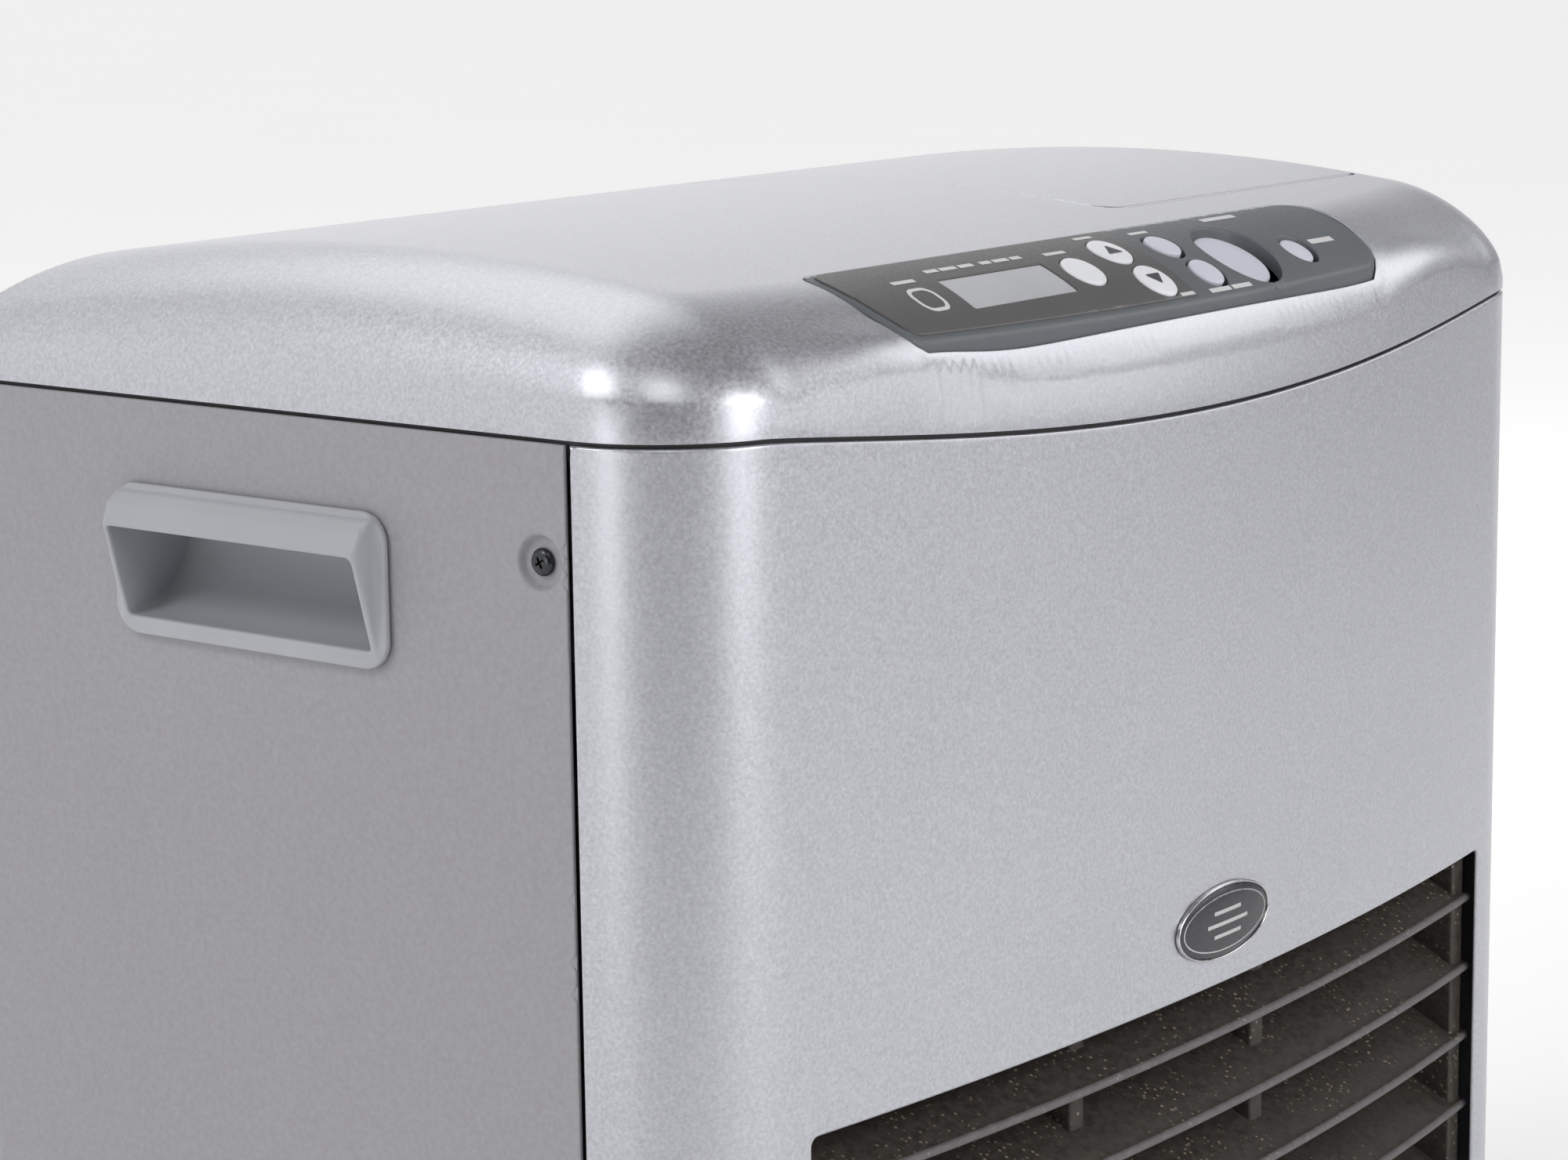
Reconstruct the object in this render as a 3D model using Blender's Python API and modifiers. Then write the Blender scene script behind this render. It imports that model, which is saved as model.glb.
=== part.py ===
"""Portable fan-forced paraffin room heater, modelled as separate named pieces.

Metres, +Z up.  The front faces -Y and +X is on the right seen from the front.
The floor is z = 0 and the origin is under the middle of the overall box.
"""
import math

import bmesh
import bpy
from mathutils import Matrix, Vector

# ------------------------------------------------------------------ driving dimensions
GAP = 0.0003                 # clearance between pieces that touch
WIDTH = 0.430                # over the side panels
HALF_WIDTH = WIDTH / 2
CORNER_R = 0.0404            # plan radius of the front corners
BOW_R = 1.307                # plan radius of the bowed front
SIDE_FRONT_Y = -0.100        # flat side ends and the front corner begins
REAR_Y = 0.1275              # outside of the rear
REAR_R = 0.010               # plan radius of the rear corners

TRAY_BOTTOM_Z = 0.008
TRAY_TOP_Z = 0.045
CHASSIS_Z = 0.0453           # underside of the chassis plate
CHASSIS_T = 0.0012
FLOOR_Z = CHASSIS_Z + CHASSIS_T + GAP
PANEL_BOTTOM_Z = 0.0456
SHEET_T = 0.0010             # painted sheet steel

SEAM_Z = 0.395               # joint between the panels and the top cover
SEAM_SAG = 0.0122            # how far that joint dips in the middle of the front
SEAM_SAG_HALF = 0.180        # the dip ends at this distance from the centre
SEAM_GAP = 0.0012

COVER_T = 0.0025             # moulded top cover
CROWN_Z = 0.4353             # highest line of the cover
CROWN_Y = -0.0064            # where that line lies
CROWN_R = 0.683              # radius of the crown, front to back
ROLL_W = 0.0349              # width of the rolled edge of the cover
ROLL_POWER = 1.865           # fullness of that edge, 2 is elliptical
ROLL_FOOT = 0.0036           # upright foot of the cover under the roll

LID_X0 = 0.040
LID_X1 = 0.185
LID_Y0 = -0.089
LID_Y1 = 0.100
LID_R = 0.008
LID_GAP = 0.0006
LID_REAR_GAP = 0.0018
HINGE_BEFORE_REAR = 0.011    # hinge axis in front of the lid's rear edge
HINGE_BELOW_TOP = 0.0060     # and below the cover surface
HINGE_ROD_R = 0.0015
HINGE_LUG_XS = (0.060, 0.165)
HINGE_LUG_W = 0.006

PANEL_REAR_Y = -0.109        # control panel, rear edge
PANEL_REAR_Z = 0.4280
PANEL_SLOPE = 0.20           # its fall per metre at the rear edge
PANEL_CURVE = 8.1            # and how quickly the fall grows, per metre
PANEL_T = 0.0050
PANEL_FRONT_Y = -0.1450
PANEL_FRONT_R = 2.9
PANEL_GAP = 0.0005
FILM_T = 0.0008
BUTTON_LEN = 0.0085
BUTTON_PROUD = 0.0012
BUTTON_CLEAR = 0.0004
BUTTON_TRAVEL = 0.0010

OPENING_HALF = 0.175         # warm-air opening in the front
OPENING_Z0 = 0.065
OPENING_Z1 = 0.2176
BLADE_FIRST_Z = 0.2010
BLADE_PITCH = 0.0230
BLADE_COUNT = 6
BLADE_DEPTH = 0.022
BLADE_T = 0.0022
BLADE_RISE = 0.0095          # rear edge above the front edge
POST_XS = (-0.168, -0.060, 0.060, 0.168)
GRILLE_BACK_Y = -0.1120

HANDLE_Y = 0.0087            # middle of the carrying handle
HANDLE_Z = 0.3523
HANDLE_L = 0.0985
HANDLE_H = 0.0405
HANDLE_R = 0.008
HANDLE_FLANGE_T = 0.0020
HANDLE_PROUD = 0.0100        # the lip stands this far out of the side
HANDLE_POCKET_L = 0.0880
HANDLE_WALL = 0.0020
HANDLE_DEPTH = 0.0240        # inside the side panel

SCREW_FRONT_Y = -0.0903
SCREW_TOP_Z = 0.3649
SCREW_LOW_Z = 0.075
SCREW_HEAD_R = 0.0036
SCREW_HEAD_T = 0.0020
DIMPLE_R = 0.0073
DIMPLE_FLOOR_R = 0.0046
DIMPLE_DEPTH = 0.0020
SCREW_SHANK_R = 0.0016
SCREW_SHANK_L = 0.0080
REAR_SCREWS = [(-0.200, 0.370), (0.200, 0.370)]

BADGE_Z = 0.2361
BADGE_W = 0.0485
BADGE_H = 0.0215
BADGE_T = 0.0022

FAN_X = -0.085
FAN_Z = 0.200
FAN_R = 0.071
FAN_Y0 = 0.100
FAN_Y1 = 0.118
GUARD_R = 0.084
GUARD_Y1 = 0.1550
REAR_PLATE_Y = 0.1253
REAR_PLATE_T = 0.0009

BURNER_X = -0.085
BURNER_Y = -0.015
BLOWER_Y = 0.060

TANK_X0 = 0.050
TANK_X1 = 0.174
TANK_Y0 = -0.076
TANK_Y1 = 0.078
TANK_Z0 = 0.118
TANK_Z1 = 0.376
TANK_T = 0.0010
NECK_X = 0.112
NECK_R = 0.018

# ------------------------------------------------------------------ scene and helpers
for old in list(bpy.data.objects):
    bpy.data.objects.remove(old, do_unlink=True)

scene = bpy.context.scene
parts = bpy.data.collections.new("paraffin_fan_heater")
cutters = bpy.data.collections.new("cutters")
scene.collection.children.link(parts)
scene.collection.children.link(cutters)


def material(name, colour, roughness, metallic=0.0):
    """A plain Principled material."""
    mat = bpy.data.materials.new(name)
    mat.use_nodes = True
    shader = mat.node_tree.nodes["Principled BSDF"]
    shader.inputs["Base Color"].default_value = (*colour, 1.0)
    shader.inputs["Roughness"].default_value = roughness
    shader.inputs["Metallic"].default_value = metallic
    return mat


SILVER = ("silver_paint", (0.55, 0.55, 0.58), 0.38, 0.35)
GREY_PAINT = ("grey_paint", (0.36, 0.35, 0.38), 0.55, 0.0)
HANDLE_GREY = ("handle_plastic", (0.36, 0.37, 0.40), 0.45, 0.0)
DARK_PLASTIC = ("dark_plastic", (0.09, 0.10, 0.11), 0.45, 0.0)
BROWN_BLACK = ("grille_paint", (0.035, 0.030, 0.026), 0.55, 0.2)
STEEL = ("steel", (0.55, 0.55, 0.55), 0.35, 1.0)
HOT_STEEL = ("heat_steel", (0.30, 0.27, 0.25), 0.45, 1.0)
BLACK = ("black_plastic", (0.02, 0.02, 0.02), 0.5, 0.0)
BUTTON = ("button_plastic", (0.55, 0.57, 0.62), 0.4, 0.0)
GREEN = ("board", (0.03, 0.18, 0.08), 0.5, 0.0)
BRASS = ("brass", (0.60, 0.42, 0.14), 0.3, 1.0)


def add(name, mesh, look, collection=parts):
    """Put a mesh into the scene as one named object with its own material."""
    ob = bpy.data.objects.new(name, mesh)
    collection.objects.link(ob)
    if look is not None:
        base, colour, rough, metal = look
        ob.data.materials.append(material(name + "_" + base, colour, rough, metal))
    return ob


def hide_cutter(ob):
    ob.hide_render = True
    ob.display_type = "WIRE"
    return ob


def combine(ob, cutter, operation="DIFFERENCE", solver="EXACT"):
    """Boolean modifier; the cutter moves to the collection of cutters."""
    for owner in list(cutter.users_collection):
        owner.objects.unlink(cutter)
    cutters.objects.link(cutter)
    hide_cutter(cutter)
    mod = ob.modifiers.new(operation.lower(), "BOOLEAN")
    mod.operation = operation
    mod.solver = solver
    mod.object = cutter
    return ob


def bevel(ob, width, segments=2, angle=40):
    mod = ob.modifiers.new("bevel", "BEVEL")
    mod.width = width
    mod.segments = segments
    mod.limit_method = "ANGLE"
    mod.angle_limit = math.radians(angle)
    return ob


def smooth(ob):
    for face in ob.data.polygons:
        face.use_smooth = True
    return ob


def block(name, lo, hi, look=None):
    """Axis-aligned box between two corners."""
    bm = bmesh.new()
    bmesh.ops.create_cube(bm, size=1.0)
    size = [hi[i] - lo[i] for i in range(3)]
    mid = [(hi[i] + lo[i]) / 2 for i in range(3)]
    bmesh.ops.scale(bm, vec=size, verts=bm.verts)
    mesh = bpy.data.meshes.new(name)
    bm.to_mesh(mesh)
    bm.free()
    ob = add(name, mesh, look)
    ob.location = mid
    return ob


def rod(name, radius, length, look=None, segments=24, top_radius=None):
    """Cylinder or cone along Z, its middle at the object's origin."""
    bm = bmesh.new()
    top = radius if top_radius is None else top_radius
    bmesh.ops.create_cone(bm, cap_ends=True, segments=segments, radius1=radius, radius2=top, depth=length)
    mesh = bpy.data.meshes.new(name)
    bm.to_mesh(mesh)
    bm.free()
    return add(name, mesh, look)


def turned(name, profile, look=None, steps=32):
    """Closed profile of (radius, height) pairs turned round Z; touches the axis at both ends or never."""
    area = sum(r0 * z1 - r1 * z0 for (r0, z0), (r1, z1) in zip(profile, profile[1:] + profile[:1]))
    if area > 0:
        profile = profile[::-1]          # the outer side runs from top to bottom
    bm = bmesh.new()
    verts = [bm.verts.new((r, 0.0, z)) for r, z in profile]
    for a, b in zip(verts, verts[1:]):
        bm.edges.new((a, b))
    if profile[0][0] > 0.0:
        bm.edges.new((verts[-1], verts[0]))
    mesh = bpy.data.meshes.new(name)
    bm.to_mesh(mesh)
    bm.free()
    ob = add(name, mesh, look)
    mod = ob.modifiers.new("screw", "SCREW")
    mod.axis = "Z"
    mod.steps = steps
    mod.render_steps = steps
    mod.use_merge_vertices = True
    mod.merge_threshold = 0.00005
    return ob


def flat_solid(name, loops, thickness, look=None):
    """Flat outline with holes, centred on z = 0, from a filled 2D curve."""
    curve = bpy.data.curves.new(name, "CURVE")
    curve.dimensions = "2D"
    curve.fill_mode = "BOTH"
    curve.extrude = thickness / 2
    for loop in loops:
        spline = curve.splines.new("POLY")
        spline.points.add(len(loop) - 1)
        for point, (x, y) in zip(spline.points, loop):
            point.co = (x, y, 0.0, 1.0)
        spline.use_cyclic_u = True
    temp = bpy.data.objects.new(name + "_curve", curve)
    scene.collection.objects.link(temp)
    graph = bpy.context.evaluated_depsgraph_get()
    mesh = bpy.data.meshes.new_from_object(temp.evaluated_get(graph))
    bpy.data.objects.remove(temp, do_unlink=True)
    bpy.data.curves.remove(curve)
    bm = bmesh.new()
    bm.from_mesh(mesh)
    bmesh.ops.remove_doubles(bm, verts=bm.verts, dist=0.000005)
    bmesh.ops.recalc_face_normals(bm, faces=bm.faces)
    bm.to_mesh(mesh)
    bm.free()
    mesh.name = name
    mesh.materials.clear()
    return add(name, mesh, look)


def upright(ob, axis):
    """Turn a flat solid so that its outline (a, b) lies in the plane across the given axis."""
    if axis == "X":       # a -> Y, b -> Z, thickness -> X
        turn = Matrix(((0, 0, 1), (1, 0, 0), (0, 1, 0)))
    else:                 # axis Y: a -> X, b -> Z, thickness -> -Y
        turn = Matrix(((1, 0, 0), (0, 0, -1), (0, 1, 0)))
    ob.rotation_euler = turn.to_euler()
    return ob


def tube(name, points, radius, look, resolution=2):
    """Solid wire along a polyline."""
    curve = bpy.data.curves.new(name, "CURVE")
    curve.dimensions = "3D"
    curve.bevel_depth = radius
    curve.bevel_resolution = resolution
    curve.use_fill_caps = True
    spline = curve.splines.new("POLY")
    spline.points.add(len(points) - 1)
    for point, co in zip(spline.points, points):
        point.co = (*co, 1.0)
    temp = bpy.data.objects.new(name + "_curve", curve)
    scene.collection.objects.link(temp)
    graph = bpy.context.evaluated_depsgraph_get()
    mesh = bpy.data.meshes.new_from_object(temp.evaluated_get(graph))
    bpy.data.objects.remove(temp, do_unlink=True)
    bpy.data.curves.remove(curve)
    bm = bmesh.new()
    bm.from_mesh(mesh)
    bmesh.ops.remove_doubles(bm, verts=bm.verts, dist=0.000005)
    bmesh.ops.recalc_face_normals(bm, faces=bm.faces)
    bm.to_mesh(mesh)
    bm.free()
    mesh.name = name
    mesh.materials.clear()
    return smooth(add(name, mesh, look))


def loft(name, rings, look=None, closed_rings=True):
    """Closed solid through a stack of rings with the same number of points, capped at both ends."""
    bm = bmesh.new()
    rows = [[bm.verts.new(p) for p in ring] for ring in rings]
    count = len(rows[0])
    last = count if closed_rings else count - 1
    for low, high in zip(rows, rows[1:]):
        for i in range(last):
            j = (i + 1) % count
            bm.faces.new((low[i], low[j], high[j], high[i]))
    bm.faces.new(rows[0][::-1])
    bm.faces.new(rows[-1])
    bmesh.ops.recalc_face_normals(bm, faces=bm.faces)
    mesh = bpy.data.meshes.new(name)
    bm.to_mesh(mesh)
    bm.free()
    return add(name, mesh, look)


# ------------------------------------------------------------------ plan outline of the cabinet
CORNER_X = HALF_WIDTH - CORNER_R
BOW_Y = SIDE_FRONT_Y + math.sqrt((BOW_R - CORNER_R) ** 2 - CORNER_X ** 2)


def bow_y(x, inset=0.0):
    """Front face of the cabinet at a distance x from the centre."""
    return BOW_Y - math.sqrt((BOW_R - inset) ** 2 - x * x)


def front_path(inset=0.0, corner_steps=6, bow_steps=14):
    """Plan points of the front from the left side round to the right side."""
    join = math.atan2(-(BOW_Y - SIDE_FRONT_Y), CORNER_X)
    radius = CORNER_R - inset
    corner = []
    for i in range(corner_steps + 1):
        a = join * i / corner_steps
        corner.append((CORNER_X + radius * math.cos(a), SIDE_FRONT_Y + radius * math.sin(a)))
    half = BOW_R - inset
    bow = []
    for i in range(1, bow_steps):
        a = (-math.pi - join) + (2 * join + math.pi) * i / bow_steps
        bow.append((half * math.cos(a), BOW_Y + half * math.sin(a)))
    left = [(-x, y) for x, y in corner]
    return left + bow + corner[::-1]


def outline(inset=0.0, corner_steps=5, bow_steps=10, side_steps=3, rear_steps=4):
    """Closed plan outline, starting at the left side's front end and running round the front."""
    points = front_path(inset, corner_steps, bow_steps)
    side = HALF_WIDTH - inset
    rear = REAR_Y - inset
    radius = max(REAR_R - inset, 0.0006)
    y_end = rear - radius
    right = [(side, SIDE_FRONT_Y + (y_end - SIDE_FRONT_Y) * i / side_steps) for i in range(1, side_steps)]
    arc = []
    for i in range(4):
        a = math.pi / 2 * i / 3
        arc.append((side - radius + radius * math.cos(a), y_end + radius * math.sin(a)))
    back = []
    for i in range(1, rear_steps):
        back.append(((side - radius) * (1 - 2 * i / rear_steps), rear))
    mirrored = [(-x, y) for x, y in (right + arc)[::-1]]
    return points + right + arc + back + mirrored


def seam_z(x, y):
    """Height of the joint under the top cover."""
    if y < SIDE_FRONT_Y - 0.01 and abs(x) < SEAM_SAG_HALF:
        return SEAM_Z - SEAM_SAG * (1 - (x / SEAM_SAG_HALF) ** 2)
    return SEAM_Z


def crown_z(y):
    """Height of the cover's middle surface line at a depth y."""
    return CROWN_Z - (y - CROWN_Y) ** 2 / (2 * CROWN_R)


def panel_z(y):
    """Top surface of the control panel."""
    back = PANEL_REAR_Y - y
    return PANEL_REAR_Z - PANEL_SLOPE * back - PANEL_CURVE * back * back


def panel_tilt(y):
    """Angle by which the panel falls towards the front at a depth y."""
    back = PANEL_REAR_Y - y
    return math.atan(PANEL_SLOPE + 2 * PANEL_CURVE * back)


def rounded(points, radii, steps=5):
    """Polygon with its corners rounded, counter-clockwise."""
    out = []
    count = len(points)
    for i in range(count):
        p = Vector(points[i])
        a = (Vector(points[i - 1]) - p).normalized()
        b = (Vector(points[(i + 1) % count]) - p).normalized()
        radius = radii[i]
        if radius <= 0:
            out.append(tuple(p))
            continue
        half = a.angle(b) / 2
        reach = radius / math.tan(half)
        centre = p + (a + b).normalized() * (radius / math.sin(half))
        start = p + a * reach - centre
        finish = p + b * reach - centre
        sweep = start.angle_signed(finish)
        for k in range(steps + 1):
            turn = Matrix.Rotation(-sweep * k / steps, 2)
            out.append(tuple(centre + turn @ start))
    return out


def rectangle(x0, x1, y0, y1, radius, steps=5):
    corners = [(x0, y0), (x1, y0), (x1, y1), (x0, y1)]
    return rounded(corners, [radius] * 4, steps)


def circle(x, y, radius, steps=24):
    return [(x + radius * math.cos(2 * math.pi * i / steps), y + radius * math.sin(2 * math.pi * i / steps))
            for i in range(steps)]


# ------------------------------------------------------------------ base
def make_base():
    tray = flat_solid("base_tray", [outline(0.0, 5, 10, 1, 1)], TRAY_TOP_Z - TRAY_BOTTOM_Z, DARK_LOOK)
    tray.location.z = (TRAY_TOP_Z + TRAY_BOTTOM_Z) / 2
    hollow = flat_solid("cut_tray", [outline(0.0026, 5, 10, 1, 1)], TRAY_TOP_Z - TRAY_BOTTOM_Z)
    hollow.location.z = (TRAY_TOP_Z + TRAY_BOTTOM_Z) / 2 + 0.0025
    combine(tray, hollow)
    plate = flat_solid("chassis_plate", [outline(0.0016, 5, 10, 1, 1)], CHASSIS_T, STEEL)
    plate.location.z = CHASSIS_Z + CHASSIS_T / 2
    for name, x, y in [("foot_front_left", -0.180, -0.105), ("foot_front_right", 0.180, -0.105),
                       ("foot_rear_left", -0.180, 0.100), ("foot_rear_right", 0.180, 0.100)]:
        foot = rod(name, 0.014, TRAY_BOTTOM_Z - GAP, BLACK, 14)
        foot.location = (x, y, (TRAY_BOTTOM_Z - GAP) / 2)


DARK_LOOK = ("tray_plastic", (0.10, 0.10, 0.11), 0.5, 0.0)


def join(ob, other):
    """Add another object's solid to this one as a separate body (both unmodified meshes)."""
    bm = bmesh.new()
    bm.from_mesh(ob.data)
    other.data.transform(other.matrix_basis)
    bm.from_mesh(other.data)
    bm.to_mesh(ob.data)
    bm.free()
    bpy.data.objects.remove(other, do_unlink=True)
    return ob


# ------------------------------------------------------------------ panels
def side_path(side, inset=0.0):
    """Plan path of a side panel from its front edge round the rear corner."""
    x = side * (HALF_WIDTH - inset)
    rear = REAR_Y - inset
    radius = REAR_R - inset
    points = [(x, SIDE_FRONT_Y + 0.0015), (x, 0.0), (x, rear - radius)]
    for i in range(1, 5):
        a = math.pi / 2 * i / 4
        points.append((x - side * (radius - radius * math.cos(a)), rear - radius + radius * math.sin(a)))
    points.append((side * 0.192, rear))
    return points


def wall(name, outer, inner, bottom, tops, look):
    """Upright sheet between an outer and an inner plan path, with its own top height at each point."""
    rings = []
    for (xo, yo), (xi, yi), top in zip(outer, inner, tops):
        rings.append([(xo, yo, bottom), (xi, yi, bottom), (xi, yi, top), (xo, yo, top)])
    return loft(name, rings, look)


def make_side(side, name):
    top = SEAM_Z - SEAM_GAP / 2
    outer = side_path(side)
    panel = wall(name, outer, side_path(side, SHEET_T), PANEL_BOTTOM_Z, [top] * len(outer), GREY_PAINT)
    grip = rectangle(HANDLE_Y - HANDLE_POCKET_L / 2 - 0.0028, HANDLE_Y + HANDLE_POCKET_L / 2 + 0.0028,
                     HANDLE_Z - 0.0173, HANDLE_Z + 0.0173, 0.0008, 1)
    opening = upright(flat_solid("cut_" + name, [grip], 0.02), "X")
    opening.location.x = side * HALF_WIDTH
    combine(panel, opening)
    for i, z in enumerate((SCREW_TOP_Z, SCREW_LOW_Z)):
        hole = rod("cut_%s_%d" % (name, i), DIMPLE_R - 0.0004, 0.02, None, 12)
        hole.rotation_euler = (0, math.pi / 2, 0)
        hole.location = (side * HALF_WIDTH, SCREW_FRONT_Y, z)
        combine(panel, hole, "DIFFERENCE", "MANIFOLD")
        dish = turned("dish_%s_%d" % (name, i), [
            (DIMPLE_R + 0.0003, -0.0002), (DIMPLE_R - 0.0008, -0.0002), (DIMPLE_FLOOR_R, -DIMPLE_DEPTH),
            (0.0021, -DIMPLE_DEPTH), (0.0021, -DIMPLE_DEPTH - SHEET_T),
            (DIMPLE_FLOOR_R + 0.0004, -DIMPLE_DEPTH - SHEET_T), (DIMPLE_R - 0.0002, -0.0008),
            (DIMPLE_R + 0.0003, -0.0008)], None, 12)
        dish.rotation_euler = (0, side * math.pi / 2, 0)
        dish.location = (side * HALF_WIDTH, SCREW_FRONT_Y, z)
        combine(panel, dish, "UNION", "MANIFOLD")
    for x, z in REAR_SCREWS:
        if x * side > 0:
            hole = rod("cut_rear_%s" % name, 0.0019, 0.02, None, 12)
            hole.rotation_euler = (math.pi / 2, 0, 0)
            hole.location = (x, REAR_Y, z)
            combine(panel, hole, "DIFFERENCE", "MANIFOLD")
    return panel


def make_front():
    outer = front_path(0.0, 6, 16)
    inner = front_path(SHEET_T, 6, 16)
    tops = [seam_z(x, y) - SEAM_GAP / 2 for x, y in outer]
    panel = wall("front_panel", outer, inner, PANEL_BOTTOM_Z, tops, SILVER)
    opening = rectangle(-OPENING_HALF, OPENING_HALF, OPENING_Z0, OPENING_Z1, 0.002, 2)
    cut = upright(flat_solid("cut_front", [opening], 0.12), "Y")
    cut.location.y = -0.15
    combine(panel, cut)
    for i, x in enumerate((-0.018, 0.018)):
        pin = rod("cut_badge_%d" % i, 0.0016, 0.02, None, 12)
        pin.rotation_euler = (math.pi / 2, 0, 0)
        pin.location = (x, bow_y(0), BADGE_Z)
        combine(panel, pin)


def make_rear():
    plate = rectangle(-0.2048, 0.2048, PANEL_BOTTOM_Z + 0.0014, SEAM_Z - 0.001, 0.001, 1)
    holes = [circle(FAN_X, FAN_Z, 0.0795, 24), circle(-0.165, 0.072, 0.0062, 16)]
    holes += [circle(x, z, 0.0019, 12) for x, z in REAR_SCREWS]
    rear = upright(flat_solid("rear_panel", [plate] + holes, REAR_PLATE_T, GREY_PAINT), "Y")
    rear.location.y = REAR_PLATE_Y + REAR_PLATE_T / 2


# ------------------------------------------------------------------ top cover and lid
def crowned(name, inset, drop, foot_z=None, look=None):
    """Closed crowned solid that fills the cover down to its joint, or down to foot_z."""
    rings = []

    def ring(extra, height):
        return [(x, y, height(x, y)) for x, y in outline(inset + extra)]

    def joint(x, y):
        return seam_z(x, y) + SEAM_GAP / 2 if foot_z is None else foot_z

    rings.append(ring(0.008, joint))
    rings.append(ring(0.0, joint))
    width = ROLL_W - inset
    for f in (0.0, 0.04, 0.15, 0.36, 0.65, 1.0):
        share = (1 - (1 - f) ** ROLL_POWER) ** (1 / ROLL_POWER)

        def height(x, y, share=share, f=f):
            low = seam_z(x, y) + ROLL_FOOT if f < 0.9 else SEAM_Z
            return low + (crown_z(y) - drop - low) * share

        base = outline(inset)
        inner = outline(inset + f * width)
        rings.append([(xi, yi, height(xo, yi) if f < 1 else crown_z(yi) - drop)
                      for (xo, yo), (xi, yi) in zip(base, inner)])
    last = rings[-1]
    for t in (0.33, 0.66, 0.93):
        ring_points = []
        for x, y, z in last:
            xs = x * (1 - t)
            ys = CROWN_Y + (y - CROWN_Y) * (1 - t)
            ring_points.append((xs, ys, crown_z(ys) - drop))
        rings.append(ring_points)
    return loft(name, rings, look)


def lid_outline(grow=0.0, rear=0.0):
    return rectangle(LID_X0 - grow, LID_X1 + grow, LID_Y0 - grow, LID_Y1 + grow + rear, LID_R + grow, 4)


def panel_outline(grow=0.0):
    """Plan outline of the control panel, counter-clockwise from its front left corner."""
    front = []
    for i in range(9):
        x = -0.1235 + (0.0965 + 0.1235) * i / 8
        front.append((x, PANEL_FRONT_Y + x * x / (2 * PANEL_FRONT_R) - grow))
    ends = [(0.1030 + grow, -0.1405), (0.1065 + grow, -0.1370), (0.1085 + grow, -0.1280), (0.1080 + grow, -0.1180),
            (0.1030 + grow * 0.7, -0.1118 + grow * 0.7), (0.0945, PANEL_REAR_Y + grow),
            (-0.1310, PANEL_REAR_Y + grow), (-0.1345 - grow * 0.7, -0.1105 + grow * 0.7),
            (-0.1357 - grow, -0.1140), (-0.1345 - grow, -0.1280), (-0.1310 - grow, -0.1385),
            (-0.1280 - grow * 0.7, -0.1420 - grow * 0.7)]
    return front + ends


def make_cover():
    cover = crowned("top_cover", 0.0, 0.0, None, SILVER)
    combine(cover, crowned("cut_cover_inside", COVER_T, COVER_T, SEAM_Z - 0.03))
    opening = flat_solid("cut_cover_lid", [lid_outline(LID_GAP, LID_REAR_GAP)], 0.08)
    opening.location.z = 0.44
    combine(cover, opening)
    recess = flat_solid("cut_cover_panel", [panel_outline(PANEL_GAP)], 0.08)
    recess.location.z = 0.44
    combine(cover, recess)

    lid = crowned("tank_lid", 0.0, 0.0, None, SILVER)
    combine(lid, crowned("cut_lid_inside", COVER_T, COVER_T, SEAM_Z - 0.03))
    shape = flat_solid("cut_lid_shape", [lid_outline()], 0.06)
    shape.location.z = 0.45
    combine(lid, shape, "INTERSECT")
    axis_y = LID_Y1 - HINGE_BEFORE_REAR
    axis_z = crown_z(axis_y) - HINGE_BELOW_TOP
    for i, x in enumerate(HINGE_LUG_XS):
        lug = block("lug_%d" % i, (x - HINGE_LUG_W / 2, axis_y - 0.0035, axis_z - 0.0035),
                    (x + HINGE_LUG_W / 2, axis_y + 0.0035, axis_z + HINGE_BELOW_TOP - 0.0014))
        combine(lid, lug, "UNION")
        bore = rod("lug_bore_%d" % i, HINGE_ROD_R + 0.0003, HINGE_LUG_W * 2, None, 16)
        bore.rotation_euler = (0, math.pi / 2, 0)
        bore.location = (x, axis_y, axis_z)
        combine(lid, bore)
    place_origin(lid, (0.0, axis_y, axis_z))
    pin = rod("lid_hinge_rod", HINGE_ROD_R, LID_X1 - LID_X0 + 0.009, STEEL, 16)
    pin.rotation_euler = (0, math.pi / 2, 0)
    pin.location = ((LID_X0 + LID_X1) / 2, axis_y, axis_z)
    for i, x in enumerate((LID_X0 - 0.0030, LID_X1 + 0.0030)):
        ear = block("ear_%d" % i, (x - 0.0012, axis_y - 0.005, axis_z - 0.005),
                    (x + 0.0012, axis_y + 0.005, axis_z + HINGE_BELOW_TOP - 0.0012 - 0.0014 * i))
        combine(cover, ear, "UNION")
        hole = rod("ear_hole_%d" % i, HINGE_ROD_R + GAP, 0.004, None, 16)
        hole.rotation_euler = (0, math.pi / 2, 0)
        hole.location = (x, axis_y, axis_z)
        combine(cover, hole)


def place_origin(ob, point):
    """Move an object's origin without moving its mesh in space; its cutters stay where they are."""
    ob.data.transform(Matrix.Translation(-Vector(point)))
    ob.location = point


# ------------------------------------------------------------------ control panel
def panel_slab(name, low, high, outline_points, look=None):
    """Part of a slab that follows the panel surface, between two offsets from it."""
    rows = 7
    y0 = PANEL_REAR_Y + 0.004
    y1 = PANEL_FRONT_Y - 0.004
    ys = [y0 + (y1 - y0) * i / rows for i in range(rows + 1)]
    profile = [(y, panel_z(y) + high) for y in ys] + [(y, panel_z(y) + low) for y in ys[::-1]]
    rings = [[(x, y, z) for y, z in profile] for x in (-0.150, 0.125)]
    slab = loft(name, rings, look)
    prism = flat_solid("cut_" + name, [outline_points], 0.08)
    prism.location.z = 0.415
    combine(slab, prism, "INTERSECT")
    return slab


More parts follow.
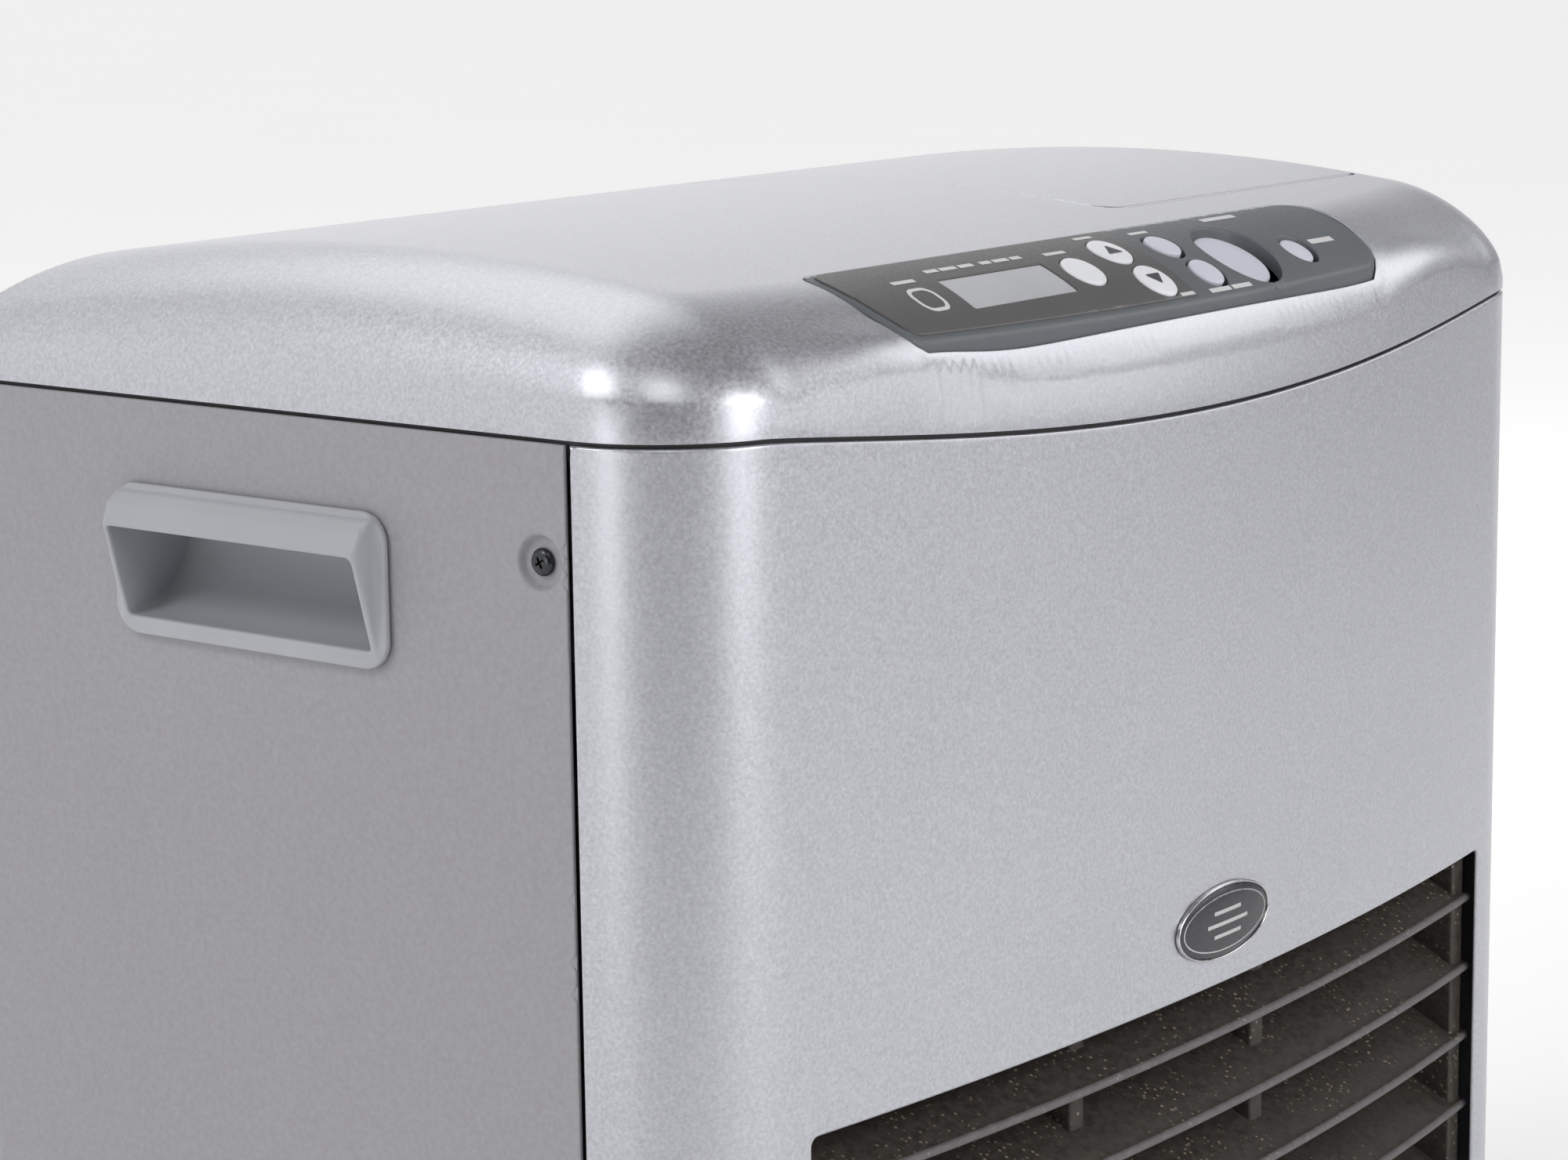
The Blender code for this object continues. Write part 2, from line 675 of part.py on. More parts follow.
BUTTONS = {
    "mode_button": (-0.0350, -0.1288, 0.0068),
    "up_button": (-0.0126, -0.1226, 0.0068),
    "down_button": (-0.0107, -0.1362, 0.0068),
    "timer_button": (0.0141, -0.1230, 0.0056),
    "lock_button": (0.0168, -0.1358, 0.0056),
    "power_button": (0.0420, -0.1300, 0.0122),
    "economy_button": (0.0715, -0.1330, 0.0056),
}
POWER_WELL_R = 0.0143
POWER_WELL_DEPTH = 0.0022
LCD_X0 = -0.0947
LCD_X1 = -0.0472
LCD_Y0 = -0.1352
LCD_Y1 = -0.1230
FILM_X1 = 0.0012


def on_panel(ob, x, y, offset):
    """Stand an object's Z axis on the panel surface at (x, y), raised by offset."""
    tilt = panel_tilt(y)
    ob.rotation_euler = (tilt, 0, 0)
    up = Vector((0, -math.sin(tilt), math.cos(tilt)))
    ob.location = Vector((x, y, panel_z(y))) + up * offset
    return ob


def film_outline(grow=0.0):
    """Outline of the film over the left part of the panel."""
    points = []
    for i in range(6):
        x = -0.1215 + (FILM_X1 + 0.1215) * i / 5
        points.append((x, PANEL_FRONT_Y + x * x / (2 * PANEL_FRONT_R) + 0.0022 - grow))
    points += [(FILM_X1 + grow, PANEL_REAR_Y - 0.0018 + grow), (-0.1300, PANEL_REAR_Y - 0.0018 + grow),
               (-0.1331 - grow, -0.1140), (-0.1320 - grow, -0.1280), (-0.1285 - grow, -0.1375)]
    return points


def make_panel():
    bezel = panel_slab("control_bezel", -PANEL_T, 0.0, panel_outline(), DARK_PLASTIC)
    film = panel_slab("display_fascia", GAP, GAP + FILM_T, film_outline(), DARK_PLASTIC)
    window = rectangle(LCD_X0, LCD_X1, LCD_Y0, LCD_Y1, 0.0006, 2)
    panel_slab("lcd_window", GAP, GAP + FILM_T, window, ("lcd", (0.42, 0.44, 0.46), 0.25, 0.0))
    hole = flat_solid("cut_film_lcd", [rectangle(LCD_X0 - GAP, LCD_X1 + GAP, LCD_Y0 - GAP, LCD_Y1 + GAP,
                                                 0.0008, 2)], 0.05)
    hole.location.z = 0.415
    combine(film, hole)
    for name, (x, y, radius) in BUTTONS.items():
        well = name == "power_button"
        offset = BUTTON_PROUD - (0.0012 if well else 0.0)
        cap = rod(name, radius, BUTTON_LEN, BUTTON, 18)
        cap.data.transform(Matrix.Translation((0, 0, -BUTTON_LEN / 2)))
        on_panel(cap, x, y, offset + (FILM_T if x < 0 else 0.0))
        bevel(cap, 0.0005, 1)
        bore = rod("cut_" + name, radius + BUTTON_CLEAR, 0.024, None, 18)
        on_panel(bore, x, y, 0.0)
        combine(bezel, bore)
        if x < 0:
            again = rod("cut_film_" + name, radius + BUTTON_CLEAR, 0.024, None, 18)
            on_panel(again, x, y, 0.0)
            combine(film, again)
        if well:
            pit = rod("cut_well", POWER_WELL_R, POWER_WELL_DEPTH * 2, None, 18)
            on_panel(pit, x, y, 0.0)
            combine(bezel, pit)
    board = block("control_board", (-0.100, -0.0125, -0.0008), (0.088, 0.0125, 0.0008), GREEN)
    on_panel(board, -0.005, -0.1270, -BUTTON_LEN - 0.0030)


# ------------------------------------------------------------------ handles, screws, badge
def make_handle(side, name):
    """Moulded insert: a raised flange, an overhanging lip and a pocket behind it."""
    face = HALF_WIDTH + GAP
    top = HANDLE_Z + HANDLE_H / 2
    low = HANDLE_Z - HANDLE_H / 2
    flange = rectangle(HANDLE_Y - HANDLE_L / 2, HANDLE_Y + HANDLE_L / 2, low, top, HANDLE_R, 5)
    body = flat_solid(name, [flange], HANDLE_FLANGE_T, HANDLE_GREY)
    turn = Matrix(((0, 0, 1, side * (face + HANDLE_FLANGE_T / 2)), (1, 0, 0, 0), (0, 1, 0, 0), (0, 0, 0, 1)))
    body.data.transform(turn)

    def extruded(part, section, half):
        """Section of (outwards, height) pairs run along the handle."""
        rings = []
        for y in (HANDLE_Y - half, HANDLE_Y + half):
            rings.append([(side * (HALF_WIDTH + out), y, HANDLE_Z + h) for out, h in section])
        return loft(part, rings)

    outer = HANDLE_POCKET_L / 2 + HANDLE_WALL
    lip_h = 0.0205
    hood = extruded("hood_" + name, [
        (0.0012, 0.0182), (0.0040, 0.0182), (0.0078, 0.0150), (HANDLE_PROUD - 0.0004, lip_h - 0.0100),
        (HANDLE_PROUD, lip_h - 0.0110), (HANDLE_PROUD - 0.0006, lip_h - 0.0120),
        (0.0012, -0.0182)], outer)
    combine(body, hood, "UNION")
    tub = extruded("tub_" + name, [
        (0.0012, 0.0165), (0.0012, -0.0165), (-0.0060, -0.0165), (-0.0160, -0.0125), (-0.0220, -0.0040),
        (-HANDLE_DEPTH, 0.0060), (-HANDLE_DEPTH, 0.0165)], outer)
    combine(body, tub, "UNION")
    pocket = extruded("pocket_" + name, [
        (0.0140, lip_h - 0.0128), (HANDLE_PROUD - 0.0020, lip_h - 0.0110), (0.0050, 0.0140),
        (-HANDLE_DEPTH + HANDLE_WALL, 0.0140), (-HANDLE_DEPTH + HANDLE_WALL, 0.0064),
        (-0.0203, -0.0030), (-0.0148, -0.0107), (-0.0055, -0.0145), (0.0023, -0.0153),
        (0.0140, -0.0153)], HANDLE_POCKET_L / 2)
    combine(body, pocket)
    return body


def screw_at(name, matrix):
    """Pan-head screw with its head on +Z, the underside of the head at the origin."""
    head = rod(name, SCREW_HEAD_R, SCREW_HEAD_T, STEEL, 14)
    head.data.transform(Matrix.Translation((0, 0, SCREW_HEAD_T / 2 + GAP)))
    bm = bmesh.new()
    bm.from_mesh(head.data)
    ring = [f for f in bm.faces if f.normal.z < -0.9]
    made = bmesh.ops.inset_region(bm, faces=ring, thickness=SCREW_HEAD_R - SCREW_SHANK_R)
    bmesh.ops.translate(bm, verts=list({v for f in ring for v in f.verts}), vec=(0, 0, -0.00001))
    out = bmesh.ops.extrude_face_region(bm, geom=ring)
    verts = [v for v in out["geom"] if isinstance(v, bmesh.types.BMVert)]
    bmesh.ops.translate(bm, verts=verts, vec=(0, 0, -SCREW_SHANK_L))
    bmesh.ops.delete(bm, geom=ring, context="FACES")
    bmesh.ops.recalc_face_normals(bm, faces=bm.faces)
    bm.to_mesh(head.data)
    bm.free()
    del made
    head.data.transform(matrix)
    return head


def make_screws():
    for side, word in ((-1, "left"), (1, "right")):
        for z, place in ((SCREW_TOP_Z, "upper"), (SCREW_LOW_Z, "lower")):
            turn = Matrix.Rotation(side * math.pi / 2, 4, "Y")
            spot = Matrix.Translation((side * (HALF_WIDTH - DIMPLE_DEPTH), SCREW_FRONT_Y, z))
            screw_at("side_screw_%s_%s" % (word, place), spot @ turn)
    for (x, z), word in zip(REAR_SCREWS, ("left", "right")):
        turn = Matrix.Rotation(-math.pi / 2, 4, "X")
        screw_at("rear_screw_%s" % word, Matrix.Translation((x, REAR_Y, z)) @ turn)


def make_badge():
    points = [(BADGE_W / 2 * math.cos(2 * math.pi * i / 24), BADGE_H / 2 * math.sin(2 * math.pi * i / 24))
              for i in range(24)]
    rings = []
    for share, out in ((1.0, 0.0), (1.0, 0.6), (0.90, 0.85), (0.6, 1.0)):
        ring = []
        for a, b in points:
            x = a * share
            ring.append((x, bow_y(x) - GAP - BADGE_T * out, BADGE_Z + b * share))
        rings.append(ring)
    badge = loft("badge", rings, DARK_PLASTIC)
    for i, x in enumerate((-0.018, 0.018)):
        pin = rod("badge_pin_%d" % i, 0.0012, 0.005, None, 12)
        pin.rotation_euler = (math.pi / 2, 0, 0)
        pin.location = (x, bow_y(0) + 0.0018, BADGE_Z)
        combine(badge, pin, "UNION")


# ------------------------------------------------------------------ outlet
def make_outlet():
    """Bowed blades joined by upright posts, with a frame behind the front panel."""
    columns = 8
    section = [(0.0, -0.0002), (0.0016, -0.0016), (BLADE_DEPTH, BLADE_RISE - BLADE_T * 0.5),
               (BLADE_DEPTH, BLADE_RISE + BLADE_T * 0.5), (0.0012, 0.0012)]
    half = OPENING_HALF + 0.0005

    def blade(name, z, look=None):
        rings = []
        for i in range(columns + 1):
            x = -half + 2 * half * i / columns
            front = bow_y(x) + 0.0035
            rings.append([(x, front + d, z + h) for d, h in section])
        return loft(name, rings, look)

    grille = blade("outlet_grille", BLADE_FIRST_Z, BROWN_BLACK)
    for i in range(1, BLADE_COUNT):
        combine(grille, blade("blade_%d" % i, BLADE_FIRST_Z - BLADE_PITCH * i), "UNION")
    for i, x in enumerate(POST_XS):
        front = bow_y(x) + 0.016
        post = block("post_%d" % i, (x - 0.0035, front, OPENING_Z0 - 0.005), (x + 0.0035, GRILLE_BACK_Y,
                                                                         OPENING_Z1 + 0.006))
        combine(grille, post, "UNION")

    duct_x = OPENING_HALF + 0.004
    z0 = OPENING_Z0 - 0.007
    z1 = OPENING_Z1 + 0.008
    y0 = GRILLE_BACK_Y - 0.013
    y1 = -0.084
    duct = block("outlet_duct", (-duct_x - 0.001, y0, z0 - 0.001), (duct_x + 0.001, y1, z1 + 0.001), HOT_STEEL)
    combine(duct, block("cut_duct", (-duct_x, y0 - 0.01, z0), (duct_x, y1 - 0.001, z1)))
    combine(duct, block("cut_duct_window", (-0.160, y1 - 0.01, 0.075), (0.010, y1 + 0.01, 0.205)))


# ------------------------------------------------------------------ burner and air
def make_burner():
    chamber = turned("combustion_chamber", [
        (0.0440, 0.128), (0.0440, 0.285), (0.0300, 0.305), (0.0, 0.310), (0.0, 0.3088), (0.0295, 0.3038),
        (0.0428, 0.2845), (0.0428, 0.128)], HOT_STEEL, 18)
    chamber.location = (BURNER_X, BURNER_Y, 0)
    ports = None
    for i in range(4):
        angle = math.pi / 4 + math.pi / 2 * i
        port = rod("cut_port_%d" % i, 0.009, 0.03, None, 14)
        port.rotation_euler = (0, math.pi / 2, angle)
        port.location = (BURNER_X + 0.043 * math.cos(angle), BURNER_Y + 0.043 * math.sin(angle), 0.262)
        combine(chamber, port)
        ports = port
    del ports
    pot = turned("burner_pot", [
        (0.0150, 0.0860), (0.0400, 0.0860), (0.0400, 0.1270), (0.0460, 0.1270), (0.0460, 0.1250), (0.0420, 0.1250),
        (0.0420, 0.0840), (0.0150, 0.0840)], HOT_STEEL, 18)
    pot.location = (BURNER_X, BURNER_Y, 0)
    glow = rod("igniter", 0.0025, 0.030, ("ceramic", (0.7, 0.68, 0.62), 0.6, 0.0), 14)
    glow.location = (BURNER_X + 0.025, BURNER_Y, 0.0860 + GAP + 0.015)
    tube("flame_rod", [(BURNER_X - 0.025, BURNER_Y, 0.0863), (BURNER_X - 0.025, BURNER_Y, 0.150),
                       (BURNER_X - 0.012, BURNER_Y, 0.165), (BURNER_X, BURNER_Y, 0.168)], 0.0013, STEEL)
    duct = block("combustion_air_duct", (BURNER_X - 0.021, BURNER_Y - 0.020, FLOOR_Z + 0.004),
                 (BURNER_X + 0.021, BLOWER_Y - 0.0424, 0.0837), STEEL)
    combine(duct, block("cut_air_duct", (BURNER_X - 0.0198, BURNER_Y - 0.0188, FLOOR_Z + 0.0052),
                        (BURNER_X + 0.0198, BLOWER_Y - 0.030, 0.0780)))
    riser = rod("cut_air_riser", 0.0142, 0.03, None, 12)
    riser.location = (BURNER_X, BURNER_Y, 0.0800)
    combine(duct, riser)


def make_blower():
    housing = turned("blower_housing", [
        (0.0160, 0.0480), (0.0420, 0.0480), (0.0420, 0.0820), (0.0090, 0.0820), (0.0090, 0.0808), (0.0408, 0.0808),
        (0.0408, 0.0492), (0.0160, 0.0492)], STEEL, 18)
    housing.location = (BURNER_X, BLOWER_Y, 0)
    combine(housing, block("cut_blower_outlet", (BURNER_X - 0.0180, BLOWER_Y - 0.050, 0.0530),
                           (BURNER_X + 0.0180, BLOWER_Y - 0.030, 0.0770)))
    wheel = turned("blower_wheel", [
        (0.0, 0.0762), (0.0340, 0.0762), (0.0340, 0.0750), (0.0110, 0.0750), (0.0070, 0.0640), (0.0, 0.0640)],
        BLACK, 16)
    for i in range(10):
        vane = block("vane_%d" % i, (-0.0006, 0.0255, 0.0550), (0.0006, 0.0335, 0.0756))
        vane.data.transform(Matrix.Translation(vane.location))
        vane.location = (BURNER_X, BLOWER_Y, 0)
        vane.rotation_euler = (0, 0, 2 * math.pi * i / 10)
        combine(wheel, vane, "UNION")
    shaft = rod("wheel_shaft", 0.0020, 0.022, None, 12)
    shaft.location = (BURNER_X, BLOWER_Y, 0.0860)
    combine(wheel, shaft, "UNION")
    wheel.location = (BURNER_X, BLOWER_Y, 0)
    motor = turned("blower_motor", [
        (0.0024, 0.0824), (0.0200, 0.0824), (0.0240, 0.0850), (0.0240, 0.1080), (0.0200, 0.1110), (0.0, 0.1110),
        (0.0, 0.0980), (0.0024, 0.0980)], STEEL, 16)
    motor.location = (BURNER_X, BLOWER_Y, 0)


def turned_along_y(ob):
    """Lay an object that was modelled along Z so that its Z axis points to +Y."""
    ob.rotation_euler = (-math.pi / 2, 0, 0)
    return ob


def make_fan():
    centre = Vector((FAN_X, 0, FAN_Z))
    hub = turned("fan_rotor", [
        (0.0, -0.0020), (0.0160, 0.0), (0.0190, 0.0030), (0.0190, 0.0200), (0.0030, 0.0200), (0.0030, 0.0400),
        (0.0, 0.0400)], DARK_PLASTIC, 18)
    turned_along_y(hub).location = (FAN_X, FAN_Y0, FAN_Z)
    for i in range(5):
        rings = []
        for k in range(4):
            r = 0.0165 + (FAN_R - 0.0165) * k / 3
            wide = 0.50 - 0.08 * k
            twist = math.radians(38 - 5 * k)
            mid = 2 * math.pi * i / 5 + 0.10 * k
            ring = []
            for s, t in ((-1, -1), (0, -1), (1, -1), (1, 1), (0, 1), (-1, 1)):
                a = mid + s * wide
                rise = 0.0100 + s * r * wide * math.tan(twist) * 0.35
                ring.append((r * math.cos(a), r * math.sin(a), min(max(rise, 0.0012), 0.0190) + t * 0.0008))
            rings.append(ring)
        vane = loft("fan_vane_%d" % i, rings)
        turned_along_y(vane).location = (FAN_X, FAN_Y0, FAN_Z)
        combine(hub, vane, "UNION")
    motor = turned("fan_motor", [
        (0.0034, 0.0), (0.0230, 0.0), (0.0270, 0.0030), (0.0270, 0.0205), (0.0, 0.0205), (0.0, 0.0125),
        (0.0034, 0.0125)], STEEL, 18)
    turned_along_y(motor).location = (FAN_X, 0.1292, FAN_Z)
    y0 = REAR_PLATE_Y + REAR_PLATE_T + GAP
    depth = GUARD_Y1 - y0
    guard = turned("fan_guard", [
        (0.0795, 0.0), (GUARD_R, 0.0), (GUARD_R, depth - 0.0060), (GUARD_R - 0.0060, depth), (0.0, depth),
        (0.0, depth - 0.0022), (GUARD_R - 0.0068, depth - 0.0022), (GUARD_R - 0.0022, depth - 0.0068),
        (GUARD_R - 0.0022, 0.0022), (0.0795, 0.0022)], BLACK, 16)
    turned_along_y(guard).location = (FAN_X, y0, FAN_Z)
    slots = None
    for i in range(-3, 4):
        z = i * 0.0180
        reach = math.sqrt(0.072 ** 2 - z * z)
        pieces = [(-reach, reach)] if abs(z) > 0.035 else [(-reach, -0.034), (0.034, reach)]
        for x0, x1 in pieces:
            slot = block("cut_guard" if slots is None else "slot", (FAN_X + x0, GUARD_Y1 - 0.012,
                                                                    FAN_Z + z - 0.0050),
                         (FAN_X + x1, GUARD_Y1 + 0.01, FAN_Z + z + 0.0050))
            slot.data.transform(Matrix.Translation(slot.location))
            slot.location = (0, 0, 0)
            slots = slot if slots is None else join(slots, slot)
    combine(guard, slots)
    del centre


# ------------------------------------------------------------------ fuel
def make_fuel():
    tank = block("fuel_tank", (TANK_X0, TANK_Y0, TANK_Z0), (TANK_X1, TANK_Y1, TANK_Z1), STEEL)
    bevel(tank, 0.012, 2)
    neck = rod("tank_neck", NECK_R, 0.014, None, 24)
    neck.location = (NECK_X, 0, TANK_Z0 - 0.003)
    combine(tank, neck, "UNION")
    inside = block("cut_tank", (TANK_X0 + TANK_T, TANK_Y0 + TANK_T, TANK_Z0 + TANK_T),
                   (TANK_X1 - TANK_T, TANK_Y1 - TANK_T, TANK_Z1 - TANK_T))
    bevel(inside, 0.011, 2)
    combine(tank, inside)
    mouth = rod("cut_neck", NECK_R - 0.0014, 0.05, None, 24)
    mouth.location = (NECK_X, 0, TANK_Z0)
    combine(tank, mouth)
    cap = turned("tank_cap", [
        (0.0, 0.1040), (0.0215, 0.1040), (0.0215, 0.1165), (NECK_R + GAP, 0.1165), (NECK_R + GAP, 0.1070),
        (0.0, 0.1070)], BRASS, 18)
    cap.location = (NECK_X, 0, 0)
    grip_z = TANK_Z1 + GAP
    mid_x = (TANK_X0 + TANK_X1) / 2
    tube("tank_grip", [(mid_x - 0.045, 0, grip_z + 0.0018), (mid_x - 0.045, 0, grip_z + 0.012),
                       (mid_x - 0.038, 0, grip_z + 0.017), (mid_x + 0.038, 0, grip_z + 0.017),
                       (mid_x + 0.045, 0, grip_z + 0.012), (mid_x + 0.045, 0, grip_z + 0.0018)], 0.0018, STEEL)
    sump = block("fuel_sump", (0.060, -0.052, FLOOR_Z), (0.164, 0.052, TANK_Z0 - GAP), STEEL)
    combine(sump, block("cut_sump", (0.062, -0.050, FLOOR_Z + 0.002), (0.162, 0.050, TANK_Z0 + 0.01)))
    strainer = turned("fuel_strainer", [
        (0.0, 0.0495), (0.0170, 0.0495), (0.0170, 0.0900), (0.0160, 0.0900), (0.0160, 0.0505), (0.0, 0.0505)],
        BRASS, 14)
    strainer.location = (NECK_X, 0, 0)
    pump = turned("fuel_pump", [
        (0.0, FLOOR_Z), (0.0130, FLOOR_Z), (0.0130, 0.0950), (0.0070, 0.0990), (0.0040, 0.1080), (0.0, 0.1080)],
        BRASS, 14)
    pump.location = (0.005, -0.030, 0)
    z = 0.1080 + GAP + 0.002
    tube("fuel_pipe", [(0.005, -0.030, z - 0.0016), (0.005, -0.030, z + 0.006), (0.000, -0.030, z + 0.010),
                       (-0.020, -0.028, z + 0.010), (-0.028, -0.026, z + 0.007), (-0.031, -0.025, 0.100),
                       (-0.034, -0.024, 0.095), (-0.0415, -0.022, 0.095)], 0.0016, BRASS)


# ------------------------------------------------------------------ electrics
def make_electrics():
    board = block("main_board", (-0.2000, -0.055, 0.075), (-0.1984, 0.070, 0.200), GREEN)
    for i, (y, z, dy, dz, high) in enumerate([(-0.030, 0.100, 0.014, 0.012, 0.020), (0.010, 0.105, 0.010, 0.016, 0.024),
                                              (0.045, 0.100, 0.012, 0.012, 0.014), (0.000, 0.160, 0.020, 0.010, 0.008),
                                              (0.045, 0.165, 0.008, 0.018, 0.012)]):
        chip = block("chip_%d" % i, (-0.1988, y - dy, z - dz), (-0.1984 + high, y + dy, z + dz))
        combine(board, chip, "UNION")
    core = block("transformer", (-0.187, -0.075, FLOOR_Z), (-0.147, -0.035, 0.083), BLACK)
    coil = block("coil", (-0.181, -0.069, FLOOR_Z + 0.006), (-0.153, -0.0290, 0.077))
    combine(core, coil, "UNION")
    block("tilt_switch", (0.184, -0.036, FLOOR_Z), (0.206, -0.010, 0.074), BLACK)
    gland = turned("cord_gland", [
        (0.0035, -0.0040), (0.0052, -0.0040), (0.0052, 0.0016), (0.0090, 0.0016), (0.0090, 0.0050),
        (0.0060, 0.0110), (0.0035, 0.0110)], BLACK, 14)
    turned_along_y(gland).location = (-0.165, REAR_PLATE_Y + REAR_PLATE_T - 0.0013, 0.072)
    bulb = turned("room_sensor", [
        (0.0, 0.0), (0.0070, 0.0), (0.0070, 0.0030), (0.0030, 0.0060), (0.0030, 0.0150), (0.0, 0.0170)], BLACK, 16)
    turned_along_y(bulb).location = (0.060, REAR_PLATE_Y + REAR_PLATE_T + GAP, 0.300)
    shield = block("heat_shield", (0.0340, -0.0835, FLOOR_Z), (0.0350, 0.1240, 0.3850), STEEL)
    del shield


make_base()
make_side(-1, "left_side_panel")
make_side(1, "right_side_panel")
make_front()
make_rear()
make_cover()
make_panel()
make_handle(-1, "left_handle")
make_handle(1, "right_handle")
make_screws()
make_badge()
make_outlet()
make_burner()
make_blower()
make_fan()
make_fuel()
make_electrics()
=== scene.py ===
"""Looks of the portable paraffin fan heater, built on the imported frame.  Metres, +Z up, front towards -Y."""

import math

import bmesh
import bpy
import numpy as np
from mathutils import Matrix, Vector, geometry


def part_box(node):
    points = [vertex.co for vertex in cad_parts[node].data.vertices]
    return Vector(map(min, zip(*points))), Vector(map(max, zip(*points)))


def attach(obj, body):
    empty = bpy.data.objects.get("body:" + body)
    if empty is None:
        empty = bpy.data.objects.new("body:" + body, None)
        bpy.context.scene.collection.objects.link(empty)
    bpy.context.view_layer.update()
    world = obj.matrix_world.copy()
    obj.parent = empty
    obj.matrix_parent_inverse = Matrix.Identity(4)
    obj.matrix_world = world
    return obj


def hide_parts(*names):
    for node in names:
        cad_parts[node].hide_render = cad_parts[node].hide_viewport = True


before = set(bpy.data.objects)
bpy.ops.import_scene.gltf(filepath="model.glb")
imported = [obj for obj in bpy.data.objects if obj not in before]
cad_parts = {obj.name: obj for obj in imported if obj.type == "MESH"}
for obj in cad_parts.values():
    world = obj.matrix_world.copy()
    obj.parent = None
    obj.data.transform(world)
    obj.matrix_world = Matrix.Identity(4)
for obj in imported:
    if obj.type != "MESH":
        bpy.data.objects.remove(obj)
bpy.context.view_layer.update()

# ------------------------------------------------------------------ shape of the cabinet
HALF_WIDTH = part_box("top_cover")[1][0]
REAR_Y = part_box("top_cover")[1][1]
CORNER_R = 0.0404
BOW_R = 1.307
SIDE_FRONT_Y = -0.100
REAR_R = 0.010
SEAM_Z = 0.395
SEAM_SAG = 0.0122
SEAM_SAG_HALF = 0.187
SEAM_POWER = 1.22
FRONT_FADE = 0.02
SEAM_GAP = 0.0012
CROWN_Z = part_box("top_cover")[1][2]
CROWN_Y = -0.0064
CROWN_R = 0.683
ROLL_W = 0.0349
ROLL_POWER = 1.865
ROLL_FOOT = 0.0036
COVER_T = 0.0025
PANEL_REAR_Y = -0.109
PANEL_REAR_Z = 0.4280
PANEL_SLOPE = 0.20
PANEL_CURVE = 8.1
PANEL_FRONT_Y = -0.1450
PANEL_FRONT_R = 2.9
CORNER_X = HALF_WIDTH - CORNER_R
BOW_Y = SIDE_FRONT_Y + math.sqrt((BOW_R - CORNER_R) ** 2 - CORNER_X ** 2)
JOIN = math.atan2(-(BOW_Y - SIDE_FRONT_Y), CORNER_X)


def middle(node):
    """Centre and half size of a CAD node's box."""
    low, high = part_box(node)
    centre = [(a + b) / 2 for a, b in zip(low, high)]
    half = [(b - a) / 2 for a, b in zip(low, high)]
    return centre, half


def bow_y(x):
    return BOW_Y - math.sqrt(BOW_R ** 2 - x * x)


def crown_z(y):
    return CROWN_Z - (y - CROWN_Y) ** 2 / (2 * CROWN_R)


def panel_z(y):
    back = PANEL_REAR_Y - y
    return PANEL_REAR_Z - PANEL_SLOPE * back - PANEL_CURVE * back * back


def panel_tilt(y):
    return math.atan(PANEL_SLOPE + 2 * PANEL_CURVE * (PANEL_REAR_Y - y))


def front_points(inset, corner_steps, bow_steps):
    """Plan points of the front, from the left side to the right side."""
    radius = CORNER_R - inset
    corner = [(CORNER_X + radius * math.cos(JOIN * i / corner_steps),
               SIDE_FRONT_Y + radius * math.sin(JOIN * i / corner_steps)) for i in range(corner_steps + 1)]
    half = BOW_R - inset
    bow = []
    for i in range(1, bow_steps):
        a = (-math.pi - JOIN) + (2 * JOIN + math.pi) * i / bow_steps
        bow.append((half * math.cos(a), BOW_Y + half * math.sin(a)))
    return [(-x, y) for x, y in corner] + bow + corner[::-1]


def outline(inset, corner_steps=22, bow_steps=90, side_steps=50, rear_steps=60, rear_arc=8):
    """Closed plan outline of the cabinet at an inset."""
    points = front_points(inset, corner_steps, bow_steps)
    side = HALF_WIDTH - inset
    radius = max(REAR_R - inset, 0.0006)
    y_end = REAR_Y - inset - radius
    right = [(side, SIDE_FRONT_Y + (y_end - SIDE_FRONT_Y) * i / side_steps) for i in range(1, side_steps)]
    arc = [(side - radius + radius * math.cos(math.pi / 2 * i / rear_arc),
            y_end + radius * math.sin(math.pi / 2 * i / rear_arc)) for i in range(rear_arc + 1)]
    back = [((side - radius) * (1 - 2 * i / rear_steps), REAR_Y - inset) for i in range(1, rear_steps)]
    return points + right + arc + back + [(-x, y) for x, y in (right + arc)[::-1]]


# ------------------------------------------------------------------ mesh tools
def make_object(name, bm, mat=None, sharp=38.0, outwards=True):
    """Smooth object from a bmesh, with hard edges past an angle in degrees."""
    if outwards:
        bmesh.ops.recalc_face_normals(bm, faces=bm.faces)
    mesh = bpy.data.meshes.new(name)
    bm.to_mesh(mesh)
    bm.free()
    ob = bpy.data.objects.new(name, mesh)
    bpy.context.scene.collection.objects.link(ob)
    for face in mesh.polygons:
        face.use_smooth = True
    if sharp is not None:
        mesh.set_sharp_from_angle(angle=math.radians(sharp))
    if mat is not None:
        mesh.materials.append(mat)
    return ob


def stand(piece, body, *nodes, slot=None):
    """The piece rides on a body and stands for CAD nodes."""
    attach(piece, body)
    if nodes:
        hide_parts(*nodes)
    return piece


def distance_to_loops(points, loops):
    """Distance from each point to the nearest edge of any loop."""
    best = np.full(len(points), 1e9)
    for loop in loops:
        a = np.array(loop)
        b = np.roll(a, -1, axis=0)
        seg = b - a
        length2 = (seg ** 2).sum(1) + 1e-18
        for start in range(0, len(points), 4000):
            p = points[start:start + 4000, None, :]
            t = np.clip(((p - a) * seg).sum(2) / length2, 0, 1)
            d = np.sqrt(((a + t[..., None] * seg - p) ** 2).sum(2)).min(1)
            best[start:start + 4000] = np.minimum(best[start:start + 4000], d)
    return best


